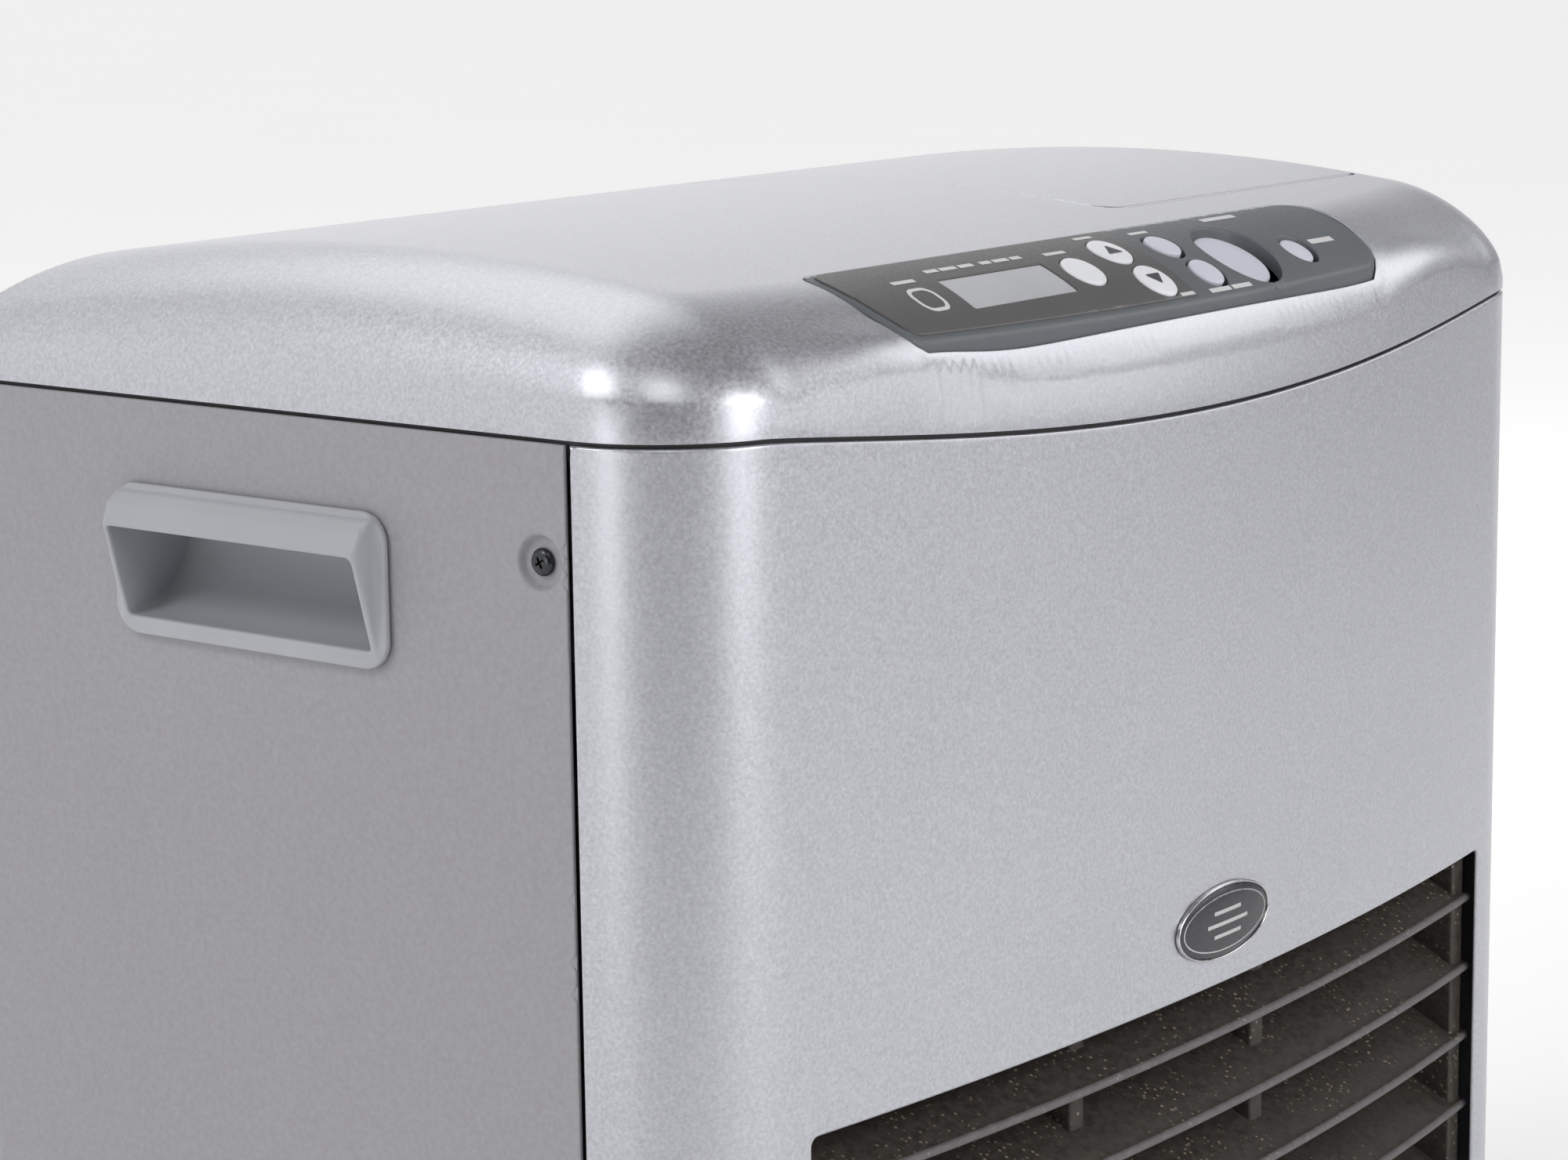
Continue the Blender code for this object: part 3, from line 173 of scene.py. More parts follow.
def inside_loop(points, loop):
    """Even-odd test of points against a closed loop."""
    a = np.array(loop)
    b = np.roll(a, -1, axis=0)
    result = np.zeros(len(points), bool)
    for (x0, y0), (x1, y1) in zip(a, b):
        if y0 == y1:
            continue
        crosses = (points[:, 1] < y0) != (points[:, 1] < y1)
        at = x0 + (points[:, 1] - y0) * (x1 - x0) / (y1 - y0)
        result ^= crosses & (points[:, 0] < at)
    return result


def offset_loop(loop, distance):
    """Loop moved to its left side (inwards on a counter-clockwise loop) by a small distance."""
    p = np.array(loop)
    before = p - np.roll(p, 1, axis=0)
    after = np.roll(p, -1, axis=0) - p
    before /= np.linalg.norm(before, axis=1)[:, None] + 1e-12
    after /= np.linalg.norm(after, axis=1)[:, None] + 1e-12
    n0 = np.c_[-before[:, 1], before[:, 0]]
    n1 = np.c_[-after[:, 1], after[:, 0]]
    n = n0 + n1
    n /= (n ** 2).sum(1)[:, None] / 2 + 1e-9
    return p + n * distance


RING_BESIDE_FILLET = 0.0003
CLEAR_OF_RINGS = 0.0006


def winding(loop):
    """Twice the signed area of a loop, positive when it runs counter-clockwise."""
    p = np.array(loop)
    q = np.roll(p, -1, axis=0)
    return float((p[:, 0] * q[:, 1] - q[:, 0] * p[:, 1]).sum())


def in_region(points, outer, holes):
    """Which points lie inside the outer loop and outside every hole."""
    keep = inside_loop(points, outer)
    for hole in holes:
        keep &= ~inside_loop(points, hole)
    return keep


def skin_points(outer, holes, radii, spacing, steps, extra, halo):
    """Plan points of a skin: its loops with rings beside them, a staggered grid and extra points."""
    points = []
    edges = []
    for loop, radius in zip([outer] + holes, radii):
        start = len(points)
        points += [tuple(p) for p in loop]
        edges += [(start + i, start + (i + 1) % len(loop)) for i in range(len(loop))]
        rings = [radius * (1 - math.cos(math.pi / 2 * k / steps)) for k in range(1, steps + 1)]
        if radius > 0:
            rings.append(radius + RING_BESIDE_FILLET)
        if loop is not outer:
            rings += halo
        for distance in rings:
            points += [tuple(p) for p in offset_loop(loop, distance)]
    grid = np.zeros((0, 2))
    if spacing:
        low = np.array(outer).min(0)
        high = np.array(outer).max(0)
        us = np.arange(low[0] + spacing / 2, high[0], spacing)
        vs = np.arange(low[1] + spacing / 2, high[1], spacing)
        grid = np.stack(np.meshgrid(us, vs), -1).reshape(-1, 2)
        even = np.round((grid[:, 1] - low[1]) / spacing) % 2 == 0
        grid[:, 0] += np.where(even, spacing * 0.25, -spacing * 0.25)
    more = np.vstack([grid] + [np.array(e, float).reshape(-1, 2) for e in extra])
    more = more[in_region(more, outer, holes)]
    more = more[distance_to_loops(more, [outer] + holes) > max(radii) + CLEAR_OF_RINGS]
    if halo:
        more = more[distance_to_loops(more, holes) > halo[-1] + CLEAR_OF_RINGS]
    return points + [tuple(p) for p in more], edges


def skin(name, outer, holes, spacing, fillet, thickness, place, under=None, extra=(), relief=None, mat=None,
         hole_fillet=None, fillet_steps=4, sharp=38.0, halo=()):
    """Thin skin over a flat region with rounded edges: place(u, v, w) gives its points, w outwards."""
    if winding(outer) < 0:
        outer = outer[::-1]
    holes = [h[::-1] if winding(h) > 0 else h for h in holes]
    radii = [fillet] + [fillet if hole_fillet is None else hole_fillet] * len(holes)
    points, edges = skin_points(outer, holes, radii, spacing, fillet_steps, extra, halo)
    verts, _, tris, _, _, _ = geometry.delaunay_2d_cdt([Vector(p) for p in points], edges, [], 0, 1e-7)
    flat = np.array([tuple(v) for v in verts])
    tris = np.array([t for t in tris if len(t) == 3])
    tris = tris[in_region(flat[tris].mean(1), outer, holes)]
    drop = np.zeros(len(flat))
    for loop, radius in zip([outer] + holes, radii):
        if radius > 0:
            d = distance_to_loops(flat, [loop])
            near = d < radius
            fall = radius - np.sqrt(np.maximum(radius ** 2 - (radius - d[near]) ** 2, 0))
            drop[near] = np.maximum(drop[near], fall)
    bm = bmesh.new()
    top = []
    bottom = []
    for (u, v), fall in zip(flat, drop):
        w = relief(u, v) if relief else 0.0
        top.append(bm.verts.new(place(u, v, w - fall)))
        bottom.append(bm.verts.new(under(u, v) if under else place(u, v, w - thickness)))
    sides = {}
    for tri in tris:
        for i in range(3):
            sides[(int(tri[i]), int(tri[(i + 1) % 3]))] = True
        bm.faces.new([top[i] for i in tri])
        bm.faces.new([bottom[i] for i in tri[::-1]])
    for a, b in sides:
        if (b, a) not in sides:
            bm.faces.new((top[b], top[a], bottom[a], bottom[b]))
    loose = [v for v in bm.verts if not v.link_faces]
    bmesh.ops.delete(bm, geom=loose, context="VERTS")
    ob = make_object(name, bm, mat, sharp)
    weigh = ob.modifiers.new("weighted_normals", "WEIGHTED_NORMAL")
    weigh.keep_sharp = True
    return apply_modifiers(ob)


def rounded(points, radius, steps=8):
    """Polygon with rounded corners, counter-clockwise."""
    out = []
    count = len(points)
    for i in range(count):
        p = Vector(points[i])
        a = (Vector(points[i - 1]) - p).normalized()
        b = (Vector(points[(i + 1) % count]) - p).normalized()
        half = a.angle(b) / 2
        centre = p + (a + b).normalized() * (radius / math.sin(half))
        start = p + a * (radius / math.tan(half)) - centre
        finish = p + b * (radius / math.tan(half)) - centre
        sweep = start.angle_signed(finish)
        for k in range(steps + 1):
            out.append(tuple(centre + Matrix.Rotation(-sweep * k / steps, 2) @ start))
    return out


def resample(loop, step):
    """Closed loop with extra points so that no edge is longer than step."""
    out = []
    for a, b in zip(loop, loop[1:] + loop[:1]):
        length = math.dist(a, b)
        n = max(1, int(math.ceil(length / step)))
        out += [(a[0] + (b[0] - a[0]) * i / n, a[1] + (b[1] - a[1]) * i / n) for i in range(n)]
    return out


def rectangle(x0, x1, y0, y1, radius, steps=8):
    return rounded([(x0, y0), (x1, y0), (x1, y1), (x0, y1)], radius, steps)


def circle(x, y, radius, steps=48):
    turns = [2 * math.pi * i / steps for i in range(steps)]
    return [(x + radius * math.cos(t), y + radius * math.sin(t)) for t in turns]


def loft(name, rings, mat=None, caps=True, closed=True, sharp=38.0, cyclic_rows=False):
    """Surface through rings of equal length."""
    bm = bmesh.new()
    rows = [[bm.verts.new(p) for p in ring] for ring in rings]
    n = len(rows[0])
    pairs = list(zip(rows, rows[1:]))
    if cyclic_rows:
        pairs.append((rows[-1], rows[0]))
    for low, high in pairs:
        for i in range(n if closed else n - 1):
            j = (i + 1) % n
            bm.faces.new((low[i], low[j], high[j], high[i]))
    if caps:
        bm.faces.new(rows[0][::-1])
        bm.faces.new(rows[-1])
    return make_object(name, bm, mat, sharp)


def turned(name, profile, matrix, mat=None, steps=48, sharp=38.0):
    """Profile of (radius, height) turned round the matrix's Z axis; radius 0 ends close it."""
    bm = bmesh.new()
    rows = []
    for r, z in profile:
        if r <= 1e-7:
            rows.append([bm.verts.new(matrix @ Vector((0, 0, z)))])
        else:
            rows.append([bm.verts.new(matrix @ Vector((x, y, z))) for x, y in circle(0.0, 0.0, r, steps)])
    for low, high in zip(rows, rows[1:]):
        if len(low) == 1 and len(high) == 1:
            continue
        for i in range(steps):
            j = (i + 1) % steps
            if len(low) == 1:
                bm.faces.new((low[0], high[j], high[i]))
            elif len(high) == 1:
                bm.faces.new((low[i], low[j], high[0]))
            else:
                bm.faces.new((low[i], low[j], high[j], high[i]))
    return make_object(name, bm, mat, sharp)


def apply_modifiers(ob):
    graph = bpy.context.evaluated_depsgraph_get()
    graph.update()
    mesh = bpy.data.meshes.new_from_object(ob.evaluated_get(graph))
    old = ob.data
    ob.modifiers.clear()
    ob.data = mesh
    bpy.data.meshes.remove(old)
    return ob


def boolean(ob, other, operation):
    mod = ob.modifiers.new("join", "BOOLEAN")
    mod.operation = operation
    mod.solver = "EXACT"
    mod.object = other
    apply_modifiers(ob)
    bpy.data.objects.remove(other, do_unlink=True)
    return ob


# ------------------------------------------------------------------ materials
class Nodes:
    """Small helper for a procedural material or the world."""

    def __init__(self, owner, shader="Principled BSDF", coords="Object"):
        owner.use_nodes = True
        self.owner = owner
        self.tree = owner.node_tree
        self.shader = self.tree.nodes[shader]
        self.coords = self.add("TexCoord").outputs[coords]

    def add(self, kind, **values):
        node = self.tree.nodes.new("ShaderNode" + kind)
        for key, value in values.items():
            node.inputs[key.replace("_", " ")].default_value = value
        return node

    def link(self, a, b):
        self.tree.links.new(a, b)

    def noise(self, scale, detail=3.0, rough=0.55, vector=None):
        node = self.add("TexNoise", Scale=scale, Detail=detail, Roughness=rough)
        self.link(vector or self.coords, node.inputs["Vector"])
        return node.outputs["Fac"]

    def voronoi(self, scale, output="Distance"):
        node = self.add("TexVoronoi", Scale=scale)
        self.link(self.coords, node.inputs["Vector"])
        return node.outputs[output]

    def stretch(self, x, y, z):
        node = self.add("Mapping", Scale=(x, y, z))
        self.link(self.coords, node.inputs["Vector"])
        return node.outputs["Vector"]

    def ramp(self, fac, stops):
        """Colour ramp; a stop is a position with a colour or a grey value."""
        node = self.add("ValToRGB")
        for element, (position, value) in zip(node.color_ramp.elements, stops):
            element.position = position
            element.color = (*value, 1.0) if isinstance(value, tuple) else (value, value, value, 1.0)
        self.link(fac, node.inputs["Fac"])
        return node.outputs["Color"]

    def mix(self, fac, a, b, mode="MIX"):
        node = self.add("Mix")
        node.data_type = "RGBA"
        node.blend_type = mode
        for socket, value in ((node.inputs[0], fac), (node.inputs[6], a), (node.inputs[7], b)):
            if hasattr(value, "links"):
                self.link(value, socket)
            elif isinstance(value, tuple):
                socket.default_value = (*value, 1.0)
            else:
                socket.default_value = value
        return node.outputs[2]

    def span(self, fac, low, high, from_low, from_high, kind="LINEAR"):
        node = self.add("MapRange", From_Min=from_low, From_Max=from_high, To_Min=low, To_Max=high)
        node.interpolation_type = kind
        self.link(fac, node.inputs["Value"])
        return node.outputs["Result"]

    def finish(self, tone, roughness, height, strength, distance):
        """Colour, roughness and bump of the surface."""
        self.link(tone, self.shader.inputs["Base Color"])
        self.link(roughness, self.shader.inputs["Roughness"])
        node = self.add("Bump", Strength=strength, Distance=distance)
        self.link(height, node.inputs["Height"])
        self.link(node.outputs["Normal"], self.shader.inputs["Normal"])

    def set(self, **values):
        for key, value in values.items():
            self.shader.inputs[key.replace("_", " ")].default_value = value
        return self.owner


def silver_paint():
    """Metallic silver lacquer: fine flakes under a thin clear coat."""
    m = Nodes(bpy.data.materials.new("silver_lacquer"))
    flake = m.voronoi(2300.0, "Color")
    grain = m.noise(900.0, 2.0, 0.6)
    cloud = m.noise(14.0, 3.0, 0.5)
    tone = m.ramp(grain, [(0.30, (0.500, 0.505, 0.545)), (0.72, (0.640, 0.645, 0.690))])
    sparkle = m.ramp(flake, [(0.0, (0.82, 0.82, 0.83)), (1.0, (1.0, 1.0, 1.0))])
    drift = m.ramp(cloud, [(0.35, (0.80, 0.80, 0.82)), (0.65, (1.0, 1.0, 1.0))])
    tone = m.mix(0.65, tone, sparkle, "MULTIPLY")
    tone = m.mix(0.10, tone, drift, "MULTIPLY")
    m.finish(tone, m.span(grain, 0.32, 0.42, 0.3, 0.7), grain, 0.10, 0.00012)
    return m.set(Metallic=0.72, Coat_Weight=0.25, Coat_Roughness=0.24)


def grey_paint():
    """Matt grey powder coat on sheet steel."""
    m = Nodes(bpy.data.materials.new("grey_powder_coat"))
    peel = m.noise(620.0, 3.0, 0.6)
    cloud = m.noise(6.0, 2.0, 0.5)
    tone = m.ramp(peel, [(0.32, (0.332, 0.323, 0.340)), (0.70, (0.378, 0.368, 0.386))])
    drift = m.ramp(cloud, [(0.3, (0.90, 0.90, 0.91)), (0.7, (1.0, 1.0, 1.0))])
    tone = m.mix(0.25, tone, drift, "MULTIPLY")
    m.finish(tone, m.span(peel, 0.50, 0.62, 0.3, 0.7), peel, 0.18, 0.00012)
    return m.set(Specular_IOR_Level=0.4)


def plastic(name, dark, light, rough=0.42, grain=700.0, bump=0.10, specular=0.5):
    """Moulded plastic with a fine spark-eroded grain and slight tone changes."""
    m = Nodes(bpy.data.materials.new(name))
    fine = m.noise(grain, 2.0, 0.6)
    tone = m.ramp(m.noise(22.0, 3.0, 0.5), [(0.30, dark), (0.70, light)])
    m.finish(tone, m.span(fine, rough - 0.05, rough + 0.06, 0.3, 0.7), fine, bump, 0.00008)
    return m.set(Specular_IOR_Level=specular)


def metal(name, dark, light, rough=0.35, along=(1.0, 1.0, 14.0), grain=160.0):
    """Bare sheet or drawn metal with a directional grain."""
    m = Nodes(bpy.data.materials.new(name))
    lines = m.noise(grain, 4.0, 0.6, m.stretch(*along))
    wide = m.noise(9.0, 3.0, 0.5)
    stops = [(0.3, dark), (0.7, light)]
    tone = m.mix(0.5, m.ramp(lines, stops), m.ramp(wide, stops))
    m.finish(tone, m.span(lines, rough - 0.08, rough + 0.10, 0.3, 0.7), lines, 0.12, 0.00008)
    return m.set(Metallic=1.0)


def speckled(name, dark, light, dots):
    """Dark heat-resisting paint with dust and pale specks."""
    m = Nodes(bpy.data.materials.new(name))
    fine = m.noise(420.0, 4.0, 0.7)
    spots = m.voronoi(430.0)
    patch = m.noise(40.0, 4.0, 0.65)
    tone = m.ramp(fine, [(0.35, dark), (0.68, light)])
    dot = m.ramp(spots, [(0.12, 1.0), (0.26, 0.0)])
    where = m.ramp(patch, [(0.46, 0.0), (0.58, 1.0)])
    tone = m.mix(m.mix(1.0, dot, where, "MULTIPLY"), tone, dots)
    m.finish(tone, m.span(fine, 0.48, 0.72, 0.3, 0.7), fine, 0.25, 0.00015)
    return m.owner


SILVER = silver_paint()
GREY = grey_paint()
HANDLE = plastic("handle_plastic", (0.385, 0.398, 0.425), (0.420, 0.433, 0.462), 0.36, 900.0, 0.05, 0.5)
BEZEL = plastic("bezel_plastic", (0.096, 0.106, 0.116), (0.112, 0.122, 0.132), 0.44, 1100.0, 0.12, 0.5)
FILM = plastic("printed_film", (0.086, 0.082, 0.082), (0.098, 0.094, 0.094), 0.36, 900.0, 0.02, 0.5)
KEY = plastic("key_plastic", (0.560, 0.580, 0.660), (0.610, 0.630, 0.700), 0.38, 1300.0, 0.05, 0.5)
PALE_KEY = plastic("pale_key_plastic", (0.740, 0.745, 0.780), (0.790, 0.795, 0.830), 0.34, 1300.0, 0.05, 0.5)
LCD = plastic("display_glass", (0.430, 0.435, 0.460), (0.480, 0.485, 0.510), 0.18, 90.0, 0.01, 0.5)
PRINT = plastic("printed_marks", (0.58, 0.58, 0.58), (0.64, 0.64, 0.64), 0.40, 900.0, 0.02, 0.4)
DARK_PRINT = plastic("dark_marks", (0.050, 0.052, 0.058), (0.065, 0.067, 0.073), 0.40, 900.0, 0.02, 0.4)
BLACK = plastic("black_plastic", (0.016, 0.016, 0.017), (0.028, 0.028, 0.030), 0.48, 500.0, 0.15, 0.4)
TRAY = plastic("tray_plastic", (0.070, 0.070, 0.076), (0.090, 0.090, 0.097), 0.46, 420.0, 0.25, 0.4)
RUBBER = plastic("foot_rubber", (0.018, 0.018, 0.018), (0.032, 0.032, 0.032), 0.80, 350.0, 0.35, 0.3)
BLADE = speckled("grille_paint", (0.030, 0.025, 0.021), (0.070, 0.059, 0.049), (0.30, 0.25, 0.18))
# Blade nose: its lighter base tone is a painted highlight; its pale specks are dust.
BLADE_NOSE_PAINTED_HIGHLIGHT = speckled("grille_nose_painted_highlight", (0.100, 0.093, 0.096), (0.150, 0.141, 0.145), (0.26, 0.25, 0.23))
STEEL = metal("bare_steel", (0.40, 0.40, 0.41), (0.56, 0.56, 0.57))
DUCT = metal("duct_steel", (0.155, 0.150, 0.165), (0.235, 0.228, 0.248), 0.45, (1.0, 1.0, 4.0), 60.0)
HOT = metal("heat_tinted_steel", (0.20, 0.16, 0.14), (0.36, 0.31, 0.29), 0.42, (1.0, 1.0, 5.0), 70.0)
SCREW = metal("black_zinc", (0.030, 0.031, 0.033), (0.085, 0.088, 0.092), 0.28, (1.0, 1.0, 1.0), 900.0)
CHROME = metal("bright_rim", (0.52, 0.52, 0.53), (0.68, 0.68, 0.69), 0.22, (1.0, 1.0, 1.0), 700.0)
BRASS = metal("brass", (0.42, 0.28, 0.10), (0.60, 0.43, 0.17), 0.30, (1.0, 1.0, 6.0), 180.0)
CERAMIC = plastic("ceramic", (0.62, 0.60, 0.55), (0.72, 0.70, 0.65), 0.55, 500.0, 0.2, 0.4)
DARK_GLOSS = plastic("badge_enamel", (0.022, 0.023, 0.027), (0.034, 0.035, 0.040), 0.26, 300.0, 0.01, 0.6)
BOARD = plastic("circuit_board", (0.012, 0.095, 0.040), (0.020, 0.140, 0.060), 0.35, 800.0, 0.10, 0.5)


# ------------------------------------------------------------------ top cover and tank lid
PANEL_END_X = 0.135
PANEL_END_SPREAD = 0.030
SWELL = 0.185
SWELL_AT_END = 0.80
LID_LOW, LID_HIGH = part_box("tank_lid")
LID = (LID_LOW[0], LID_HIGH[0], LID_LOW[1], LID_HIGH[1])
LID_R = 0.008
LUG_R = 0.0034


def smooth(t):
    t = min(max(t, 0.0), 1.0)
    return t * t * (3 - 2 * t)


def roll_inset(x, y):
    """Distance inwards from the plan outline of the cabinet."""
    d = min(HALF_WIDTH - abs(x), REAR_Y - y)
    d = min(d, BOW_R - math.hypot(x, y - BOW_Y))
    if abs(x) > CORNER_X and y < SIDE_FRONT_Y:
        d = min(d, CORNER_R - math.hypot(abs(x) - CORNER_X, y - SIDE_FRONT_Y))
    rx = HALF_WIDTH - REAR_R
    ry = REAR_Y - REAR_R
    if abs(x) > rx and y > ry:
        d = min(d, REAR_R - math.hypot(abs(x) - rx, y - ry))
    return max(d, 0.0)


def edge_seam(x, y):
    """Height of the joint below a point of the rolled edge."""
    d = roll_inset(x, y)
    if y > 0.0 or REAR_Y - y < d + 1e-6:
        return SEAM_Z
    scale = 1 + d / BOW_R
    if abs(x * scale) < SEAM_SAG_HALF:
        fade = smooth((SIDE_FRONT_Y - y) / FRONT_FADE)
        return SEAM_Z - fade * SEAM_SAG * (1 - (x * scale / SEAM_SAG_HALF) ** 2) ** SEAM_POWER
    return SEAM_Z


def cover_height(x, y, inset=0.0, drop=0.0):
    """Height of the cover: a crowned top with a rolled edge that swells round the control panel."""
    width = ROLL_W - inset
    f = min(max((roll_inset(x, y) - inset) / width, 0.0), 1.0)
    top = crown_z(y) - drop
    if f >= 1.0:
        return top
    low = edge_seam(x, y) + ROLL_FOOT
    power = ROLL_POWER
    if y < SIDE_FRONT_Y:
        fade = smooth((SIDE_FRONT_Y - y) / FRONT_FADE)
        beside = math.exp(-((abs(x) - PANEL_END_X) / PANEL_END_SPREAD) ** 2)
        across = 1 - smooth((abs(x) - 0.13) / 0.05)
        power += fade * (SWELL * across + SWELL_AT_END * beside * (1 - smooth(f / 0.5)))
    share = (1 - (1 - f) ** power) ** (1 / power)
    return low + (top - low) * share


def cover_under(x, y):
    if roll_inset(x, y) < COVER_T:
        return Vector((x, y, edge_seam(x, y) + SEAM_GAP / 2))
    return Vector((x, y, cover_height(x, y, COVER_T, COVER_T)))


def panel_front(x0, x1, steps, back=0.0):
    """Points of the panel's bowed front edge, or of a line at a distance behind it."""
    xs = [x0 + (x1 - x0) * i / steps for i in range(steps + 1)]
    return [(x, PANEL_FRONT_Y + x * x / (2 * PANEL_FRONT_R) + back) for x in xs]


def panel_outline(grow=0.0):
    """Plan outline of the control panel, grown sideways for the recess it sits in."""
    right = [(0.1005 + grow * 0.5, -0.1418 - grow * 0.5), (0.1035 + grow, -0.1400), (0.1060 + grow, -0.1370),
             (0.1077 + grow, -0.1325), (0.1084 + grow, -0.1270), (0.1083 + grow, -0.1215),
             (0.1070 + grow, -0.1165 + grow * 0.3), (0.1045 + grow * 0.7, -0.1127 + grow * 0.7),
             (0.1005 + grow * 0.4, -0.1103 + grow * 0.9), (0.0945, PANEL_REAR_Y + grow)]
    left = [(-0.1310, PANEL_REAR_Y + grow), (-0.1335 - grow * 0.5, -0.1097 + grow * 0.8),
            (-0.1351 - grow, -0.1116), (-0.1356 - grow, -0.1145), (-0.1352 - grow, -0.1220),
            (-0.1338 - grow, -0.1310), (-0.1318 - grow, -0.1375),
            (-0.1290 - grow * 0.7, -0.1408 - grow * 0.7), (-0.1262 - grow * 0.2, -0.1422 - grow)]
    return panel_front(-0.1235, 0.0965, 40, -grow) + right + left


def roll_rings():
    """Plan rings over the rolled edge, closer together where it is steep."""
    rings = []
    steps = 26
    for k in range(1, steps + 1):
        angle = math.pi / 2 * k / steps
        f = 1 - max(math.cos(angle), 0.0) ** (2 / ROLL_POWER)
        rings.append(outline(max(f * ROLL_W, 0.00016)))
    return rings


def crown_grid():
    """Staggered plan points over the flat part of the cover."""
    step = 0.0042
    y_start = -0.16
    grid = []
    for i in range(int(2 * HALF_WIDTH / step) + 1):
        for j in range(int((REAR_Y - y_start) / step) + 1):
            x = -HALF_WIDTH + i * step + (0.25 * step if j % 2 else -0.25 * step)
            y = y_start + j * step
            if roll_inset(x, y) > ROLL_W + step * 0.4:
                grid.append((x, y))
    return grid


def make_cover():
    def place(x, y, w):
        return Vector((x, y, cover_height(x, y) + w))

    x0, x1, y0, y1 = LID
    opening = rectangle(x0 - 0.0015, x1 + 0.0012, y0 - 0.0013, y1 + 0.0019, LID_R + 0.0014, 12)
    recess = resample(panel_outline(0.0005), 0.0018)
    rings = roll_rings()
    grid = crown_grid()
    cover = skin("cover_shell", outline(0.0), [resample(opening, 0.003), recess], 0, 0.0, COVER_T, place,
                 cover_under, extra=rings + [grid], mat=SILVER, hole_fillet=0.0004, sharp=75.0,
                 halo=(0.0009, 0.0019))
    stand(cover, "cabinet", "top_cover", slot="silver_plastic")
    inner = [p for line in [grid] + rings for p in line if x0 < p[0] < x1 and y0 < p[1] < y1]
    lid = skin("lid_shell", resample(rectangle(*LID, LID_R, 12), 0.003), [], 0, 0.0005, COVER_T, place,
               lambda x, y: Vector((x, y, cover_height(x, y, COVER_T, COVER_T))),
               extra=[inner], mat=SILVER, sharp=50.0)
    stand(lid, "lid", "tank_lid", slot="silver_plastic")
    _, rod_y, rod_z = middle("lid_hinge_rod")[0]
    side = []
    for k in range(17):
        a = math.pi + math.pi * k / 16
        side.append((rod_y + LUG_R * math.cos(a), rod_z + LUG_R * math.sin(a)))
    side += [(rod_y + LUG_R, rod_z + 0.0032), (rod_y - LUG_R, rod_z + 0.0032)]
    for i, x in enumerate((0.060, 0.165)):
        lug = loft("lid_lug_%d" % i, [[(x + dx, y, z) for y, z in side] for dx in (-0.003, 0.003)], SILVER)
        stand(lug, "lid", slot="silver_plastic")


def make_lip():
    """Inner lip of the top cover; it closes the seam over the panels from inside."""
    edge = outline(0.0)
    rings = []
    for inset, rise in ((0.0028, -0.0050), (0.0028, 0.0040), (0.0038, 0.0040), (0.0038, -0.0050)):
        rings.append([(x, y, edge_seam(*at) + rise) for (x, y), at in zip(outline(inset), edge)])
    lip = loft("cover_lip", rings, TRAY, caps=False, cyclic_rows=True)
    stand(lip, "cabinet", slot="dark_plastic")


# ------------------------------------------------------------------ front and side panels
def path_frame(points):
    """Arc length and outward normals of a plan path."""
    p = np.array(points)
    seg = np.linalg.norm(np.diff(p, axis=0), axis=1)
    s = np.r_[0.0, np.cumsum(seg)]
    t = np.gradient(p, s, axis=0)
    t /= np.linalg.norm(t, axis=1)[:, None]
    return p, s, np.c_[t[:, 1], -t[:, 0]]


def make_front():
    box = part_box("front_panel")
    path, s, normal = path_frame(front_points(0.0, 60, 260))

    def place(u, v, w):
        x = np.interp(u, s, path[:, 0]) + w * np.interp(u, s, normal[:, 0])
        y = np.interp(u, s, path[:, 1]) + w * np.interp(u, s, normal[:, 1])
        return Vector((float(x), float(y), v))

    edge = 0.0004
    us = np.linspace(edge, s[-1] - edge, 190)
    foot = box[0][2]
    low = [(u, foot) for u in us]
    high = []
    for u in us[::-1]:
        x = float(np.interp(u, s, path[:, 0]))
        y = float(np.interp(u, s, path[:, 1]))
        high.append((u, edge_seam(x, y) - SEAM_GAP / 2))
    steps = 120
    left = [(us[0], foot + (high[-1][1] - foot) * i / steps) for i in range(steps - 1, 0, -1)]
    right = [(us[-1], foot + (high[0][1] - foot) * i / steps) for i in range(1, steps)]
    centre = s[-1] / 2
    half = float(np.interp(OPENING[1], path[:, 0], s)) - centre
    opening = rectangle(centre - half, centre + half, OPENING[2], OPENING[3], 0.0025, 8)
    panel = skin("front_shell", low + right + high + left, [resample(opening, 0.0028)], 0.0034, 0.0008,
                 0.0011, place, mat=SILVER, sharp=50.0)
    stand(panel, "cabinet", "front_panel", slot="silver")


OPENING = (-0.175, 0.175, 0.065, 0.2176)
SCREW_SPOTS = [middle("side_screw_left_" + level)[0][1:] for level in ("upper", "lower")]
DIMPLE_R = 0.0073
DIMPLE_FLAT = 0.0056
DIMPLE_DEPTH = 0.0020


def dimple(y, z):
    """Pressed recess round each screw, with soft shoulders."""
    depth = 0.0
    for cy, cz in SCREW_SPOTS:
        r = math.hypot(y - cy, z - cz)
        if r < DIMPLE_R:
            depth = DIMPLE_DEPTH * smooth((DIMPLE_R - r) / (DIMPLE_R - DIMPLE_FLAT))
    return -depth


